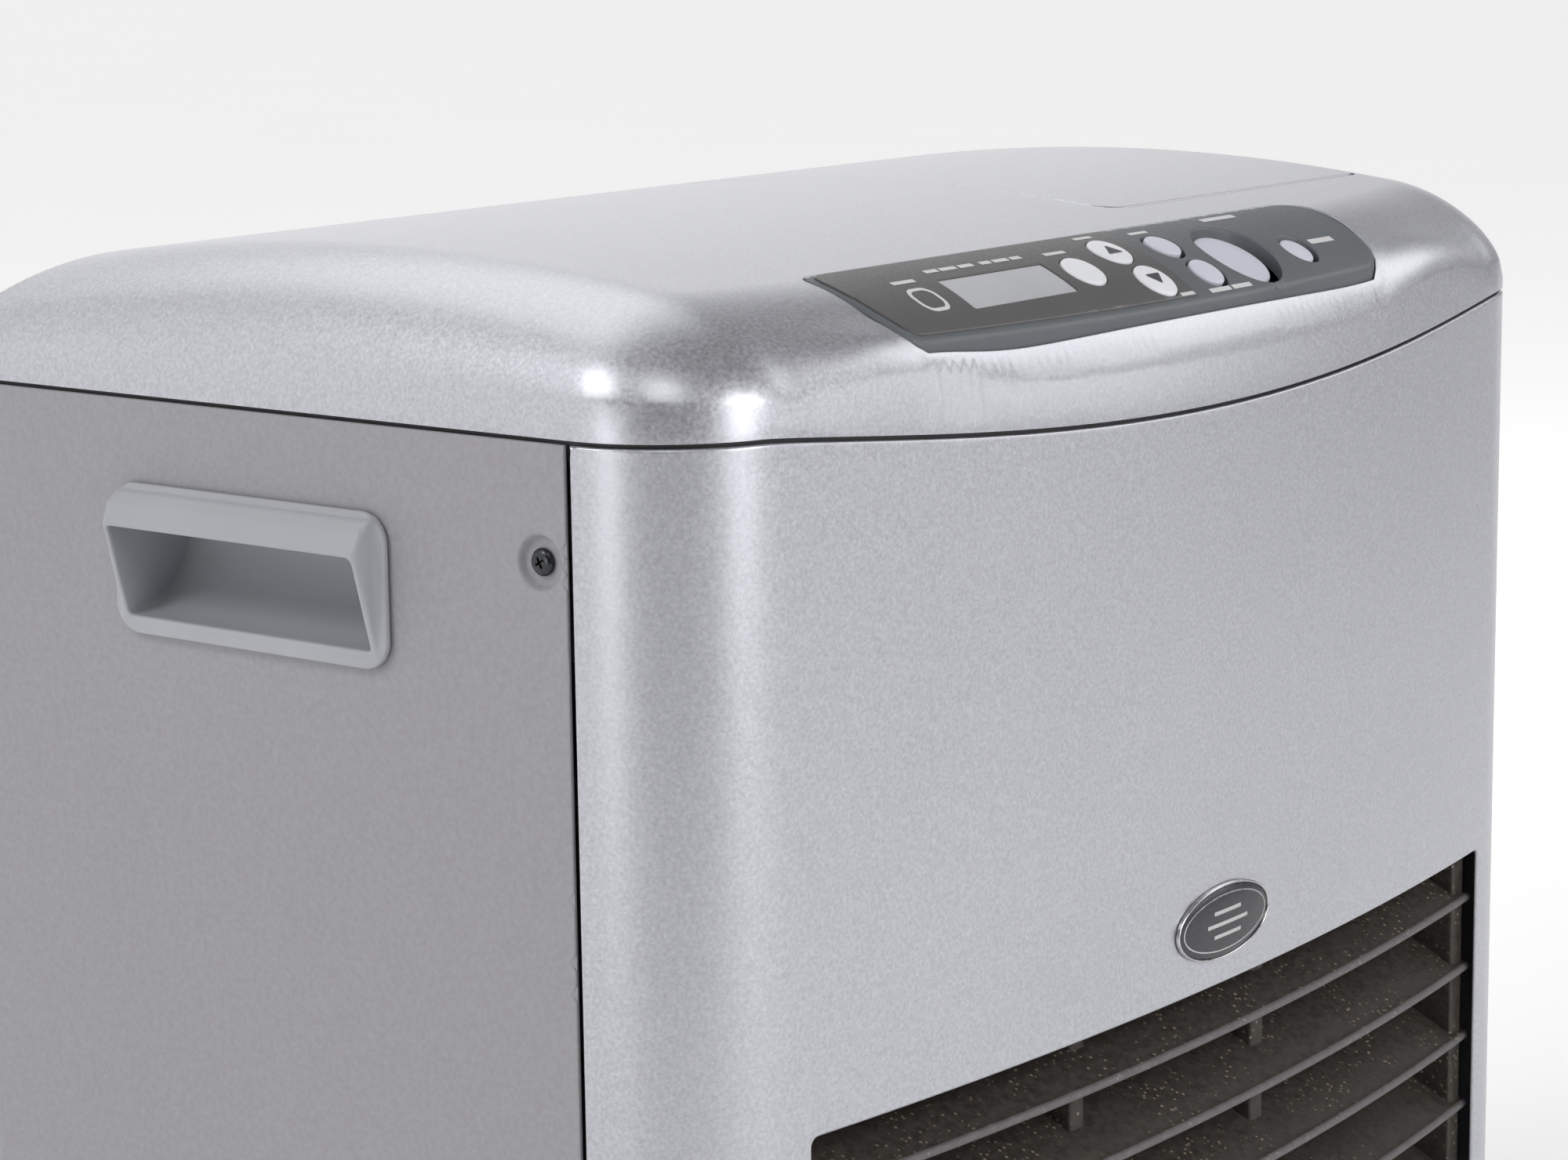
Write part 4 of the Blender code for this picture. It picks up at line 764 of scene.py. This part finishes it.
def make_side(side, word):
    """Side panel wrapped round the rear corner; u runs along it and equals y on the flat part."""
    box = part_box(word + "_side_panel")
    arc = math.pi / 2 * REAR_R
    y_arc = REAR_Y - REAR_R
    y_front = SIDE_FRONT_Y + 0.0012
    z0 = box[0][2]
    z1 = box[1][2]

    def place(u, z, w):
        if u <= y_arc:
            return Vector((side * (HALF_WIDTH + w), u, z))
        over = u - y_arc
        if over < arc:
            a = over / REAR_R
            r = REAR_R + w
            return Vector((side * (HALF_WIDTH - REAR_R + r * math.cos(a)), y_arc + r * math.sin(a), z))
        return Vector((side * (HALF_WIDTH - REAR_R - (over - arc)), REAR_Y + w, z))

    u_end = y_arc + arc + 0.013
    turns = [y_front, y_arc, y_arc + arc, u_end]
    outer = resample([(u, z0) for u in turns] + [(u, z1) for u in turns[::-1]], 0.004)
    _, mid_y, mid_z = middle(word + "_handle")[0]
    hole = rectangle(mid_y - 0.0465, mid_y + 0.0465, mid_z - 0.0171, mid_z + 0.0171, 0.002, 4)
    extra = [[(y_arc + arc * k / 10, z) for k in range(11) for z in np.arange(z0 + 0.002, z1, 0.004)]]
    holes = [resample(hole, 0.004)]
    for cy, cz in SCREW_SPOTS:
        holes.append(circle(cy, cz, 0.0019, 24))
        for r in np.linspace(0.0025, 0.0085, 16):
            extra.append(circle(cy, cz, float(r), 64))
    panel = skin(word + "_side_shell", outer, holes, 0.008, 0.0005, 0.0010, place, extra=extra,
                 relief=dimple, mat=GREY, hole_fillet=0.0003, sharp=50.0)
    stand(panel, "cabinet", word + "_side_panel", slot="grey_sheet")


# ------------------------------------------------------------------ carrying handles
HANDLE_HALF = 0.0460


def make_handle(side, word):
    """Moulded insert with an overhanging lip; the edges are softened by remeshing."""
    (_, mid_y, mid_z), (_, half_l, half_h) = middle(word + "_handle")

    def prism(name, section, half, shrink=0.0):
        """Section of (outwards, height) points run along the handle; shrink leans its ends in."""
        rings = []
        for end in (-1, 1):
            ring = []
            for out, h in section:
                lean = shrink * max(out - 0.002, 0.0) / 0.008
                ring.append((side * (HALF_WIDTH + out), mid_y + end * (half - lean), mid_z + h))
            rings.append(ring)
        return loft(name, rings, sharp=None)

    flange = rectangle(-half_l, half_l, -half_h, half_h, 0.0080, 14)
    body = loft(word + "_grip", [[(side * (HALF_WIDTH + out), mid_y + a, mid_z + b) for a, b in flange]
                                 for out in (0.0003, 0.0023)], sharp=None)
    hood = [(0.0008, 0.0186), (0.0036, 0.0184), (0.0072, 0.0158), (0.0098, 0.0104), (0.0100, 0.0092),
            (0.0092, 0.0080), (0.0026, -0.0170), (0.0008, -0.0172)]
    boolean(body, prism("hood", hood, HANDLE_HALF + 0.0006, 0.0012), "UNION")
    tub = [(0.0012, 0.0164), (0.0012, -0.0164), (-0.0060, -0.0164), (-0.0160, -0.0124), (-0.0220, -0.0040),
           (-0.0238, 0.0060), (-0.0238, 0.0164)]
    boolean(body, prism("tub", tub, HANDLE_HALF), "UNION")
    pocket = [(0.0150, 0.0076), (0.0084, 0.0098), (0.0052, 0.0138), (-0.0216, 0.0138), (-0.0219, 0.0070)]
    for k in range(1, 13):
        a = math.pi / 2 * k / 12
        pocket.append((-0.0219 + 0.0235 * (1 - math.cos(a)), 0.0070 - 0.0222 * math.sin(a)))
    pocket.append((0.0150, -0.0153))
    boolean(body, prism("pocket", pocket, HANDLE_HALF - 0.0020), "DIFFERENCE")
    remesh = body.modifiers.new("remesh", "REMESH")
    remesh.mode = "VOXEL"
    remesh.voxel_size = 0.00055
    remesh.use_smooth_shade = True
    soft = body.modifiers.new("soft", "SMOOTH")
    soft.factor = 0.5
    soft.iterations = 7
    apply_modifiers(body)
    body.data.materials.clear()
    body.data.materials.append(HANDLE)
    for face in body.data.polygons:
        face.use_smooth = True
    stand(body, "cabinet", word + "_handle", slot="handle_grey")


# ------------------------------------------------------------------ screws and badge
def make_screw(node):
    """Domed screw with a tapered cross recess, its head on the panel."""
    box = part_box(node)
    low, high = Vector(box[0]), Vector(box[1])
    size = high - low
    centre = (low + high) / 2
    if size.x > size.y:
        side = -1 if centre.x < 0 else 1
        axis = Vector((side, 0, 0))
        seat = Vector((side * (HALF_WIDTH - DIMPLE_DEPTH), centre.y, centre.z))
    else:
        axis = Vector((0, 1, 0))
        seat = Vector((centre.x, REAR_Y, centre.z))
    turn = axis.to_track_quat("Z", "Y").to_matrix().to_4x4()
    matrix = Matrix.Translation(seat) @ turn
    r = 0.0035
    head = [(0.0, 0.00215), (0.0010, 0.00214), (0.0018, 0.00206), (0.0026, 0.00182), (0.0031, 0.00148),
            (r, 0.00095), (r, 0.00045), (0.0034, 0.0003), (0.0016, 0.0003), (0.0016, -0.0076),
            (0.0, -0.0078)]
    body = turned(node + "_head", head, matrix, SCREW, 40, 40.0)
    for k in range(2):
        bm = bmesh.new()
        bmesh.ops.create_cube(bm, size=1.0)
        for v in bm.verts:
            length, width, z = (0.0019, 0.0005, 0.0009) if v.co.z < 0 else (0.0040, 0.00078, 0.0030)
            v.co = Vector((v.co.x * length, v.co.y * width, z))
        turn = Matrix.Rotation(math.pi / 2 * k + 0.5, 3, "Z")
        bmesh.ops.rotate(bm, verts=bm.verts, cent=(0, 0, 0), matrix=turn)
        bm.transform(matrix)
        boolean(body, make_object("slot", bm, None, None, outwards=False), "DIFFERENCE")
    body.data.set_sharp_from_angle(angle=math.radians(40))
    stand(body, "cabinet", node, slot="screw")


def ellipse_ring(a, b, out, x0, z0, steps=96):
    ring = []
    for i in range(steps):
        t = 2 * math.pi * i / steps
        x = x0 + a * math.cos(t)
        ring.append((x, bow_y(x) - out, z0 + b * math.sin(t)))
    return ring


MARK_LIFT = 0.00006
BADGE_EDGE = 0.0008
BADGE_DOME = 0.0013


def make_badge():
    """Oval badge: a bright rim, a dark dome and neutral bars in place of a mark."""
    (cx, _, cz), (a, _, b) = middle("badge")

    def on_dome(x, z):
        share = min(math.hypot(x / (a - 0.0010), z / (b - 0.0010)), 1.0)
        height = BADGE_EDGE + BADGE_DOME * math.sqrt(1 - share * share) ** 1.3
        return (cx + x, bow_y(cx + x) - height - MARK_LIFT, cz + z)

    rim = [(0.0, 0.0003), (0.0, 0.0010), (0.0002, 0.0013), (0.0005, 0.0013), (0.0007, 0.0010),
           (0.0007, 0.0004)]
    rings = [ellipse_ring(a - inset, b - inset, out, cx, cz) for inset, out in rim]
    stand(loft("badge_rim", rings, CHROME, caps=False, sharp=60), "cabinet", slot="film")
    rings = []
    for k in range(12):
        t = math.pi / 2 * k / 12
        share = math.cos(t)
        rings.append(ellipse_ring((a - 0.0008) * share + 1e-5, (b - 0.0008) * share + 1e-5,
                                  BADGE_EDGE + BADGE_DOME * math.sin(t) ** 1.3, cx, cz))
    stand(loft("badge_dome", rings, DARK_GLOSS, caps=True, sharp=60), "cabinet", "badge", slot="film")
    rings = [[on_dome((a - inset) * math.cos(t * math.pi / 48), (b - inset) * math.sin(t * math.pi / 48))
              for t in range(96)] for inset in (0.0026, 0.0030)]
    stand(loft("badge_line", rings, CHROME, caps=False, sharp=None), "cabinet", slot="film")
    for k, (half, z) in enumerate(((0.0105, 0.0), (0.0070, 0.0034), (0.0070, -0.0034))):
        rows = [[on_dome(-half + half * i / 8, z + dz) for i in range(17)] for dz in (-0.00055, 0.00055)]
        stripe = loft("badge_bar_%d" % k, rows, CHROME, caps=False, closed=False, sharp=None)
        stand(stripe, "cabinet", slot="film")


# ------------------------------------------------------------------ control panel
# Keys: plan centre and radius; those on the film have x below 0.
KEYS = {
    "mode_button": (-0.0350, -0.1288, 0.0068),
    "up_button": (-0.0126, -0.1226, 0.0068),
    "down_button": (-0.0107, -0.1362, 0.0068),
    "timer_button": (0.0141, -0.1230, 0.0056),
    "lock_button": (0.0168, -0.1358, 0.0056),
    "power_button": (0.0420, -0.1300, 0.0122),
    "economy_button": (0.0715, -0.1330, 0.0056),
}
FILM_X1 = 0.0012
POWER_WELL = 0.0143
FILM_TOP = 0.0005
KEY_EDGE = 0.0009


def panel_matrix(x, y, lift):
    """Frame whose Z axis stands on the panel at (x, y)."""
    tilt = panel_tilt(y)
    up = Vector((0, -math.sin(tilt), math.cos(tilt)))
    return Matrix.Translation(Vector((x, y, panel_z(y))) + up * lift) @ Matrix.Rotation(tilt, 4, "X")


def key_hole(x, y, radius):
    """Plan outline of a round hole square to the panel."""
    c = math.cos(panel_tilt(y))
    turns = [2 * math.pi * i / 56 for i in range(56)]
    return [(x + radius * math.cos(t), y + radius * c * math.sin(t)) for t in turns]


def film_outline():
    left = [(-0.1300, PANEL_REAR_Y - 0.0018), (-0.1322, -0.1120), (-0.1331, -0.1150), (-0.1328, -0.1220),
            (-0.1312, -0.1310), (-0.1290, -0.1370), (-0.1256, -0.1400)]
    return panel_front(-0.1215, FILM_X1, 30, 0.0022) + [(FILM_X1, PANEL_REAR_Y - 0.0018)] + left


def on_surface(points, lift):
    return [(x, y, panel_z(y) + lift) for x, y in points]


def patch(name, points, mat, body):
    """Thin flat printed mark from points on the surface."""
    bm = bmesh.new()
    bm.faces.new([bm.verts.new(p) for p in points])
    stand(make_object(name, bm, mat, None, outwards=False), body)


def make_panel():
    outer = resample(panel_outline(), 0.003)
    holes = []
    for name, (x, y, r) in KEYS.items():
        if x > 0:
            holes.append(key_hole(x, y, POWER_WELL if name == "power_button" else r + 0.0011))
        else:
            holes.append(key_hole(x, y, r + 0.0004))

    def place(x, y, w):
        return Vector((x, y, panel_z(y) + w))

    bezel = skin("bezel_shell", outer, holes, 0.0022, 0.0011, 0.0050, place, mat=BEZEL, hole_fillet=0.0006,
                 sharp=50.0)
    stand(bezel, "cabinet", "control_bezel", slot="dark_plastic")
    lcd_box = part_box("lcd_window")
    window = rectangle(lcd_box[0][0], lcd_box[1][0], lcd_box[0][1], lcd_box[1][1], 0.0006, 4)
    slot = rectangle(lcd_box[0][0] - 0.0002, lcd_box[1][0] + 0.0002, lcd_box[0][1] - 0.0002,
                     lcd_box[1][1] + 0.0002, 0.0007, 4)
    film_holes = [resample(slot, 0.002)]
    for name, (x, y, r) in KEYS.items():
        if x < 0:
            film_holes.append(key_hole(x, y, r + 0.0003))
    film = skin("film_sheet", resample(film_outline(), 0.003), film_holes, 0.0024, 0.00015, 0.0004,
                lambda x, y, w: place(x, y, w + FILM_TOP), mat=FILM, fillet_steps=2, sharp=50.0)
    stand(film, "cabinet", "display_fascia", slot="film")
    glass = skin("lcd_glass", resample(window, 0.002), [], 0.0024, 0.00015, 0.0006,
                 lambda x, y, w: place(x, y, w + FILM_TOP - 0.0003), mat=LCD, fillet_steps=2, sharp=50.0)
    stand(glass, "cabinet", "lcd_window", slot="lcd")
    for name, (x, y, r) in KEYS.items():
        make_key(name, x, y, r)
    make_marks(lcd_box)


def make_key(name, x, y, r):
    film = FILM_TOP if x < 0 else 0.0
    if name == "power_button":
        top, dish = -0.0030, -0.0007
    elif name == "economy_button":
        top, dish = -0.0008, 0.0002
    else:
        top, dish = 0.0004 + film, 0.0003 if x < 0 else 0.0002
    flat = r - KEY_EDGE
    profile = [(flat * k / 8, top + dish * (1 - (k / 8) ** 2)) for k in range(9)]
    for k in range(1, 7):
        a = math.pi / 2 * k / 6
        profile.append((flat + KEY_EDGE * math.sin(a), top - KEY_EDGE * (1 - math.cos(a))))
    profile += [(r, top - 0.0060), (0.0, top - 0.0062)]
    body = name.replace("_button", "_key")
    cap = turned(name + "_cap", profile, panel_matrix(x, y, 0.0), PALE_KEY if x < 0 else KEY, 64, 50.0)
    stand(cap, body, name, slot="buttons")
    if name in ("up_button", "down_button"):
        make_arrow(name, panel_matrix(x, y, top + dish + 0.00007), 1 if name == "up_button" else -1, body)


def make_arrow(name, matrix, point, body):
    """Triangle with soft corners on a key; point is 1 for upwards and -1 for downwards."""
    size = 0.0034
    corners = [Vector((-size, -size * 0.62 * point, 0)), Vector((size, -size * 0.62 * point, 0)),
               Vector((0, size * 0.72 * point, 0))]
    soft = []
    for i, p in enumerate(corners):
        a = p.lerp(corners[i - 1], 0.14)
        b = p.lerp(corners[(i + 1) % 3], 0.14)
        for k in range(5):
            t = k / 4
            soft.append(matrix @ (a * (1 - t) ** 2 + p * 2 * t * (1 - t) + b * t * t))
    patch(name + "_arrow", soft, DARK_PRINT, body)


def bar(name, x0, x1, y, thick, lift=FILM_TOP + MARK_LIFT):
    """Short printed dash, in place of wording."""
    n = 6
    low = [(x0 + (x1 - x0) * i / n, y - thick / 2) for i in range(n + 1)]
    high = [(x, y + thick) for x, _ in low[::-1]]
    patch(name, on_surface(low + high, lift), PRINT, "cabinet")


def make_marks(lcd_box):
    """Neutral dashes and a ring where a real panel carries its captions."""
    cx, cy = -0.1076, -0.1296
    a, b = 0.0055, 0.0055 * 0.86
    outer = rectangle(cx - a, cx + a, cy - b, cy + b, 0.0038)
    inner = rectangle(cx - a + 0.0013, cx + a - 0.0013, cy - b + 0.0012, cy + b - 0.0012, 0.0026)
    rings = [on_surface(loop, FILM_TOP + MARK_LIFT) for loop in (outer, inner)]
    bm = bmesh.new()
    low, high = [[bm.verts.new(p) for p in ring] for ring in rings]
    for i in range(len(low)):
        j = (i + 1) % len(low)
        bm.faces.new((low[i], low[j], high[j], high[i]))
    stand(make_object("panel_ring", bm, PRINT, None, outwards=False), "cabinet")
    top = lcd_box[1][1] + 0.0042
    dashes = ((-0.0940, -0.0882), (-0.0872, -0.0800), (-0.0786, -0.0722), (-0.0690, -0.0640),
              (-0.0630, -0.0560), (-0.0548, -0.0500))
    for i, (x0, x1) in enumerate(dashes):
        bar("caption_%d" % i, x0, x1, top, 0.0011)
    bar("caption_ring", cx - 0.0050, cx + 0.0050, cy + 0.0078, 0.0010)
    bar("caption_mode", -0.0400, -0.0300, -0.1196, 0.0010)
    bar("caption_up", -0.0170, -0.0082, -0.1138, 0.0010)
    bar("caption_down", -0.0068, 0.0000, -0.1424, 0.0007)
    for name, x0, x1, y, thick in (("timer", 0.0095, 0.0187, -0.1148, 0.0010),
                                   ("lock_0", 0.0085, 0.0190, -0.1424, 0.0009),
                                   ("lock_1", 0.0202, 0.0300, -0.1424, 0.0009),
                                   ("power", 0.0500, 0.0680, -0.1135, 0.0015),
                                   ("economy", 0.0800, 0.0930, -0.1320, 0.0013)):
        bar("caption_" + name, x0, x1, y, thick, MARK_LIFT)


# ------------------------------------------------------------------ outlet grille
BLADE_HALF = 0.1776


def make_grille():
    """Outlet louvres: bowed blades whose rounded nose carries a painted highlight (a lighter paint tone), and
    the posts that carry them.
    """
    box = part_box("outlet_grille")
    first, pitch, count = 0.2010, 0.0230, 6
    depth, rise, thick = 0.022, 0.0095, 0.0022
    columns = 72
    section = []
    for k in range(9):
        a = math.pi * (0.5 + k / 8)
        section.append((0.0013 + 0.0013 * math.cos(a), 0.0013 * math.sin(a) - 0.0003, True))
    section += [(0.0030, -0.0008, True), (depth * 0.5, rise * 0.5 - thick * 0.45, False),
                (depth, rise - thick * 0.45, False), (depth, rise + thick * 0.30, False),
                (depth - 0.0006, rise + thick * 0.45, True), (depth * 0.5, rise * 0.5 + thick * 0.45, False),
                (0.0034, 0.0019, False)]
    for n in range(count):
        z = first - pitch * n
        bm = bmesh.new()
        rows = []
        for i in range(columns + 1):
            x = -BLADE_HALF + 2 * BLADE_HALF * i / columns
            front = bow_y(x) + 0.0035
            rows.append([bm.verts.new((x, front + d, z + h)) for d, h, _ in section])
        size = len(section)
        for low, high in zip(rows, rows[1:]):
            for k in range(size):
                j = (k + 1) % size
                face = bm.faces.new((low[k], low[j], high[j], high[k]))
                # Faces of the rounded nose take the second material, whose lighter tone is a painted
                # highlight.
                face.material_index = 1 if section[k][2] and section[j][2] else 0
        bm.faces.new(rows[0][::-1])
        bm.faces.new(rows[-1])
        blade = make_object("outlet_blade_%d" % n, bm, BLADE, 45)
        # Second material: the painted highlight on the blade nose.
        blade.data.materials.append(BLADE_NOSE_PAINTED_HIGHLIGHT)
        stand(blade, "cabinet", slot="grille")
        if n == 0:
            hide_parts("outlet_grille")
    for i, (x, back) in enumerate(((-0.1725, 0.006), (-0.048, 0.016), (0.048, 0.016), (0.1725, 0.006))):
        loop = rectangle(x - 0.0035, x + 0.0035, bow_y(x) + back, box[1][1], 0.0010, 5)
        rings = [[(a, b, z) for a, b in loop] for z in (box[0][2], box[1][2])]
        stand(loft("outlet_post_%d" % i, rings, BLADE, sharp=50), "cabinet", slot="grille")


# ------------------------------------------------------------------ base, guard and inner pieces
def make_base():
    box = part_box("base_tray")
    z0, z1 = box[0][2], box[1][2]
    rows = []
    for inset, z in ((0.0030, z0), (0.0012, z0 + 0.0004), (0.0003, z0 + 0.0013), (0.0, z0 + 0.0030),
                     (0.0, z1 - 0.0009), (0.0003, z1 - 0.0003), (0.0009, z1), (0.0024, z1),
                     (0.0026, z1 - 0.0004), (0.0026, z0 + 0.0025)):
        rows.append([(x, y, z) for x, y in outline(inset, 22, 60, 4, 4, 8)])
    tray = loft("tray_shell", rows, TRAY, caps=True, sharp=50)
    stand(tray, "cabinet", "base_tray", slot="dark_plastic")
    for node in ("foot_front_left", "foot_front_right", "foot_rear_left", "foot_rear_right"):
        low, high = [Vector(corner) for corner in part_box(node)]
        mid = (low + high) / 2
        r = (high.y - low.y) / 2
        h = high.z - low.z
        profile = [(0.0, 0.0), (r - 0.0045, 0.0), (r - 0.0040, 0.0006), (r - 0.0030, 0.0006),
                   (r - 0.0025, 0.0), (r - 0.0012, 0.0), (r - 0.0002, 0.0010), (r, 0.0030), (r, h), (0.0, h)]
        foot = turned(node + "_pad", profile, Matrix.Translation((mid.x, mid.y, low.z)), RUBBER, 40, 50)
        stand(foot, "cabinet", node, slot="rubber")


def make_guard():
    """Domed guard behind the room fan, with rows of slots."""
    low, high = [Vector(corner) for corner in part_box("fan_guard")]
    centre = (low + high) / 2
    r = (high.x - low.x) / 2
    d = high.y - low.y
    profile = [(0.0795, 0.0), (r, 0.0), (r, d - 0.0068)]
    for k in range(1, 8):
        a = math.pi / 2 * k / 7
        profile.append((r - 0.0068 + 0.0068 * math.cos(a), d - 0.0068 + 0.0068 * math.sin(a)))
    profile += [(0.0, d), (0.0, d - 0.0022), (r - 0.0070, d - 0.0022)]
    for k in range(1, 8):
        a = math.pi / 2 * (1 - k / 7)
        profile.append((r - 0.0068 + 0.0046 * math.cos(a), d - 0.0068 + 0.0046 * math.sin(a)))
    profile += [(r - 0.0022, 0.0022), (0.0795, 0.0022), (0.0795, 0.0)]
    turn = Matrix.Translation((centre.x, low.y, centre.z)) @ Matrix.Rotation(-math.pi / 2, 4, "X")
    guard = turned("guard_shell", profile, turn, BLACK, 96, 50)
    bm = bmesh.new()
    bm.from_mesh(guard.data)
    bmesh.ops.remove_doubles(bm, verts=bm.verts, dist=1e-6)
    bmesh.ops.recalc_face_normals(bm, faces=bm.faces)
    bm.to_mesh(guard.data)
    bm.free()
    slots = bmesh.new()
    for i in range(-3, 4):
        z = i * 0.0180
        reach = math.sqrt(0.072 ** 2 - z * z)
        pieces = [(-reach, reach)] if abs(z) > 0.035 else [(-reach, -0.034), (0.034, reach)]
        for x0, x1 in pieces:
            loop = rectangle(x0, x1, z - 0.0050, z + 0.0050, 0.0030, 5)
            a = [slots.verts.new((centre.x + x, high.y - 0.012, centre.z + q)) for x, q in loop]
            b = [slots.verts.new((centre.x + x, high.y + 0.010, centre.z + q)) for x, q in loop]
            slots.faces.new(a)
            slots.faces.new(b[::-1])
            for k in range(len(loop)):
                j = (k + 1) % len(loop)
                slots.faces.new((a[k], b[k], b[j], a[j]))
    boolean(guard, make_object("guard_slots", slots, None, None), "DIFFERENCE")
    guard.data.set_sharp_from_angle(angle=math.radians(50))
    stand(guard, "cabinet", "fan_guard", slot="black_plastic")


CAD_LOOKS = (
    (STEEL, "chassis_plate lid_hinge_rod heat_shield flame_rod combustion_air_duct blower_housing"),
    (STEEL, "blower_motor fan_motor fuel_tank tank_grip fuel_sump"),
    (GREY, "rear_panel"),
    (BOARD, "control_board main_board"),
    (DUCT, "outlet_duct"),
    (HOT, "combustion_chamber burner_pot"),
    (CERAMIC, "igniter"),
    (BLACK, "blower_wheel fan_rotor transformer tilt_switch cord_gland room_sensor"),
    (BRASS, "tank_cap fuel_strainer fuel_pump fuel_pipe"),
)

make_cover()
make_lip()
make_front()
make_side(-1, "left")
make_side(1, "right")
make_handle(-1, "left")
make_handle(1, "right")
for screw in ("side_screw_left_upper", "side_screw_left_lower", "side_screw_right_upper",
              "side_screw_right_lower", "rear_screw_left", "rear_screw_right"):
    make_screw(screw)
make_badge()
make_panel()
make_grille()
make_base()
make_guard()
for look, nodes in CAD_LOOKS:
    for node in nodes.split():
        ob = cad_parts[node]
        ob.data.materials.clear()
        ob.data.materials.append(look)

# ------------------------------------------------------------------ floor, light, camera
bm = bmesh.new()
bmesh.ops.create_grid(bm, x_segments=2, y_segments=2, size=40.0)
floor = make_object("floor", bm, sharp=None, outwards=False)
paper = Nodes(bpy.data.materials.new("floor_paper"))
paper.link(paper.ramp(paper.noise(3.0, 2.0), [(0.3, 0.88), (0.7, 0.90)]), paper.shader.inputs["Base Color"])
along = paper.add("VectorMath")
along.operation = "DOT_PRODUCT"
along.inputs[1].default_value = (0.25, 0.97, 0.0)
paper.link(paper.coords, along.inputs[0])
glow = paper.span(along.outputs["Value"], 0.0, 0.56, -0.2, 1.0)
paper.link(glow, paper.shader.inputs["Emission Strength"])
floor.data.materials.append(paper.set(Roughness=0.9, Emission_Color=(1.0, 1.0, 1.0, 1.0)))

SKY_FRONT = 0.13
SKY_BACK = 1.08
SKY_ZENITH = 0.60
world = bpy.context.scene.world or bpy.data.worlds.new("studio")
bpy.context.scene.world = world
sky = Nodes(world, "Background", "Generated")
sky.set(Color=(1.0, 1.0, 1.0, 1.0))
parts = sky.add("SeparateXYZ")
sky.link(sky.coords, parts.inputs["Vector"])
product = sky.add("Math")
product.operation = "MULTIPLY"
sky.link(sky.span(parts.outputs["Y"], SKY_FRONT, SKY_BACK, 0.0, 0.55, "SMOOTHSTEP"), product.inputs[0])
sky.link(sky.span(parts.outputs["Z"], 1.0, SKY_ZENITH, 0.15, 0.80, "SMOOTHSTEP"), product.inputs[1])
sky.link(product.outputs["Value"], sky.shader.inputs["Strength"])

AIM = (0.0, 0.0, 0.35)


def softbox(name, location, width, height, power, target=AIM):
    lamp = bpy.data.lights.new(name, "AREA")
    lamp.shape = "RECTANGLE"
    lamp.size = width
    lamp.size_y = height
    lamp.energy = power
    ob = bpy.data.objects.new(name, lamp)
    bpy.context.scene.collection.objects.link(ob)
    ob.location = location
    ob.rotation_euler = (Vector(target) - Vector(location)).to_track_quat("-Z", "Y").to_euler()


softbox("left_softbox", (-1.66, 0.62, 1.88), 0.6, 0.6, 10.0)
softbox("front_softbox", (0.05, -1.95, 1.45), 0.6, 0.6, 14.0)
softbox("left_strip", (-2.2, 0.15, 0.42), 0.5, 0.8, 4.5)
softbox("front_fill", (0.70, -2.0, 0.80), 0.9, 0.9, 2.5)
softbox("near_fill", (-0.25, -1.20, 0.48), 0.4, 0.5, 2.3)
softbox("high_softbox", (1.70, -0.95, 1.50), 1.2, 1.0, 8.5)
softbox("right_strip", (1.70, -1.75, 0.56), 0.9, 0.4, 2.6)
softbox("crown_softbox", (-1.27, -0.80, 1.95), 0.7, 0.7, 5.2)
softbox("top_softbox", (0.3, 0.9, 2.2), 1.8, 1.6, 9.0, (0.0, 0.0, 0.4))

YAW = math.radians(52.273)
PITCH = math.radians(10.619)
ROLL = math.radians(0.748)
forward = Vector((math.sin(YAW) * math.cos(PITCH), math.cos(YAW) * math.cos(PITCH), -math.sin(PITCH)))
right = Vector((math.cos(YAW), -math.sin(YAW), 0.0))
down = forward.cross(right)
tilted_right = right * math.cos(ROLL) + down * math.sin(ROLL)
tilted_down = down * math.cos(ROLL) - right * math.sin(ROLL)
lens = bpy.data.cameras.new("camera")
lens.sensor_width = 36.0
lens.lens = 90.09
lens.shift_x = -0.00815
lens.clip_start = 0.05
lens.clip_end = 100.0
camera = bpy.data.objects.new("camera", lens)
bpy.context.scene.collection.objects.link(camera)
spot = Vector((-0.91722, -0.71234, 0.53536))
camera.matrix_world = Matrix(((tilted_right.x, -tilted_down.x, -forward.x, spot.x),
                              (tilted_right.y, -tilted_down.y, -forward.y, spot.y),
                              (tilted_right.z, -tilted_down.z, -forward.z, spot.z), (0, 0, 0, 1)))
bpy.context.scene.camera = camera
bpy.context.scene.view_settings.view_transform = "Standard"
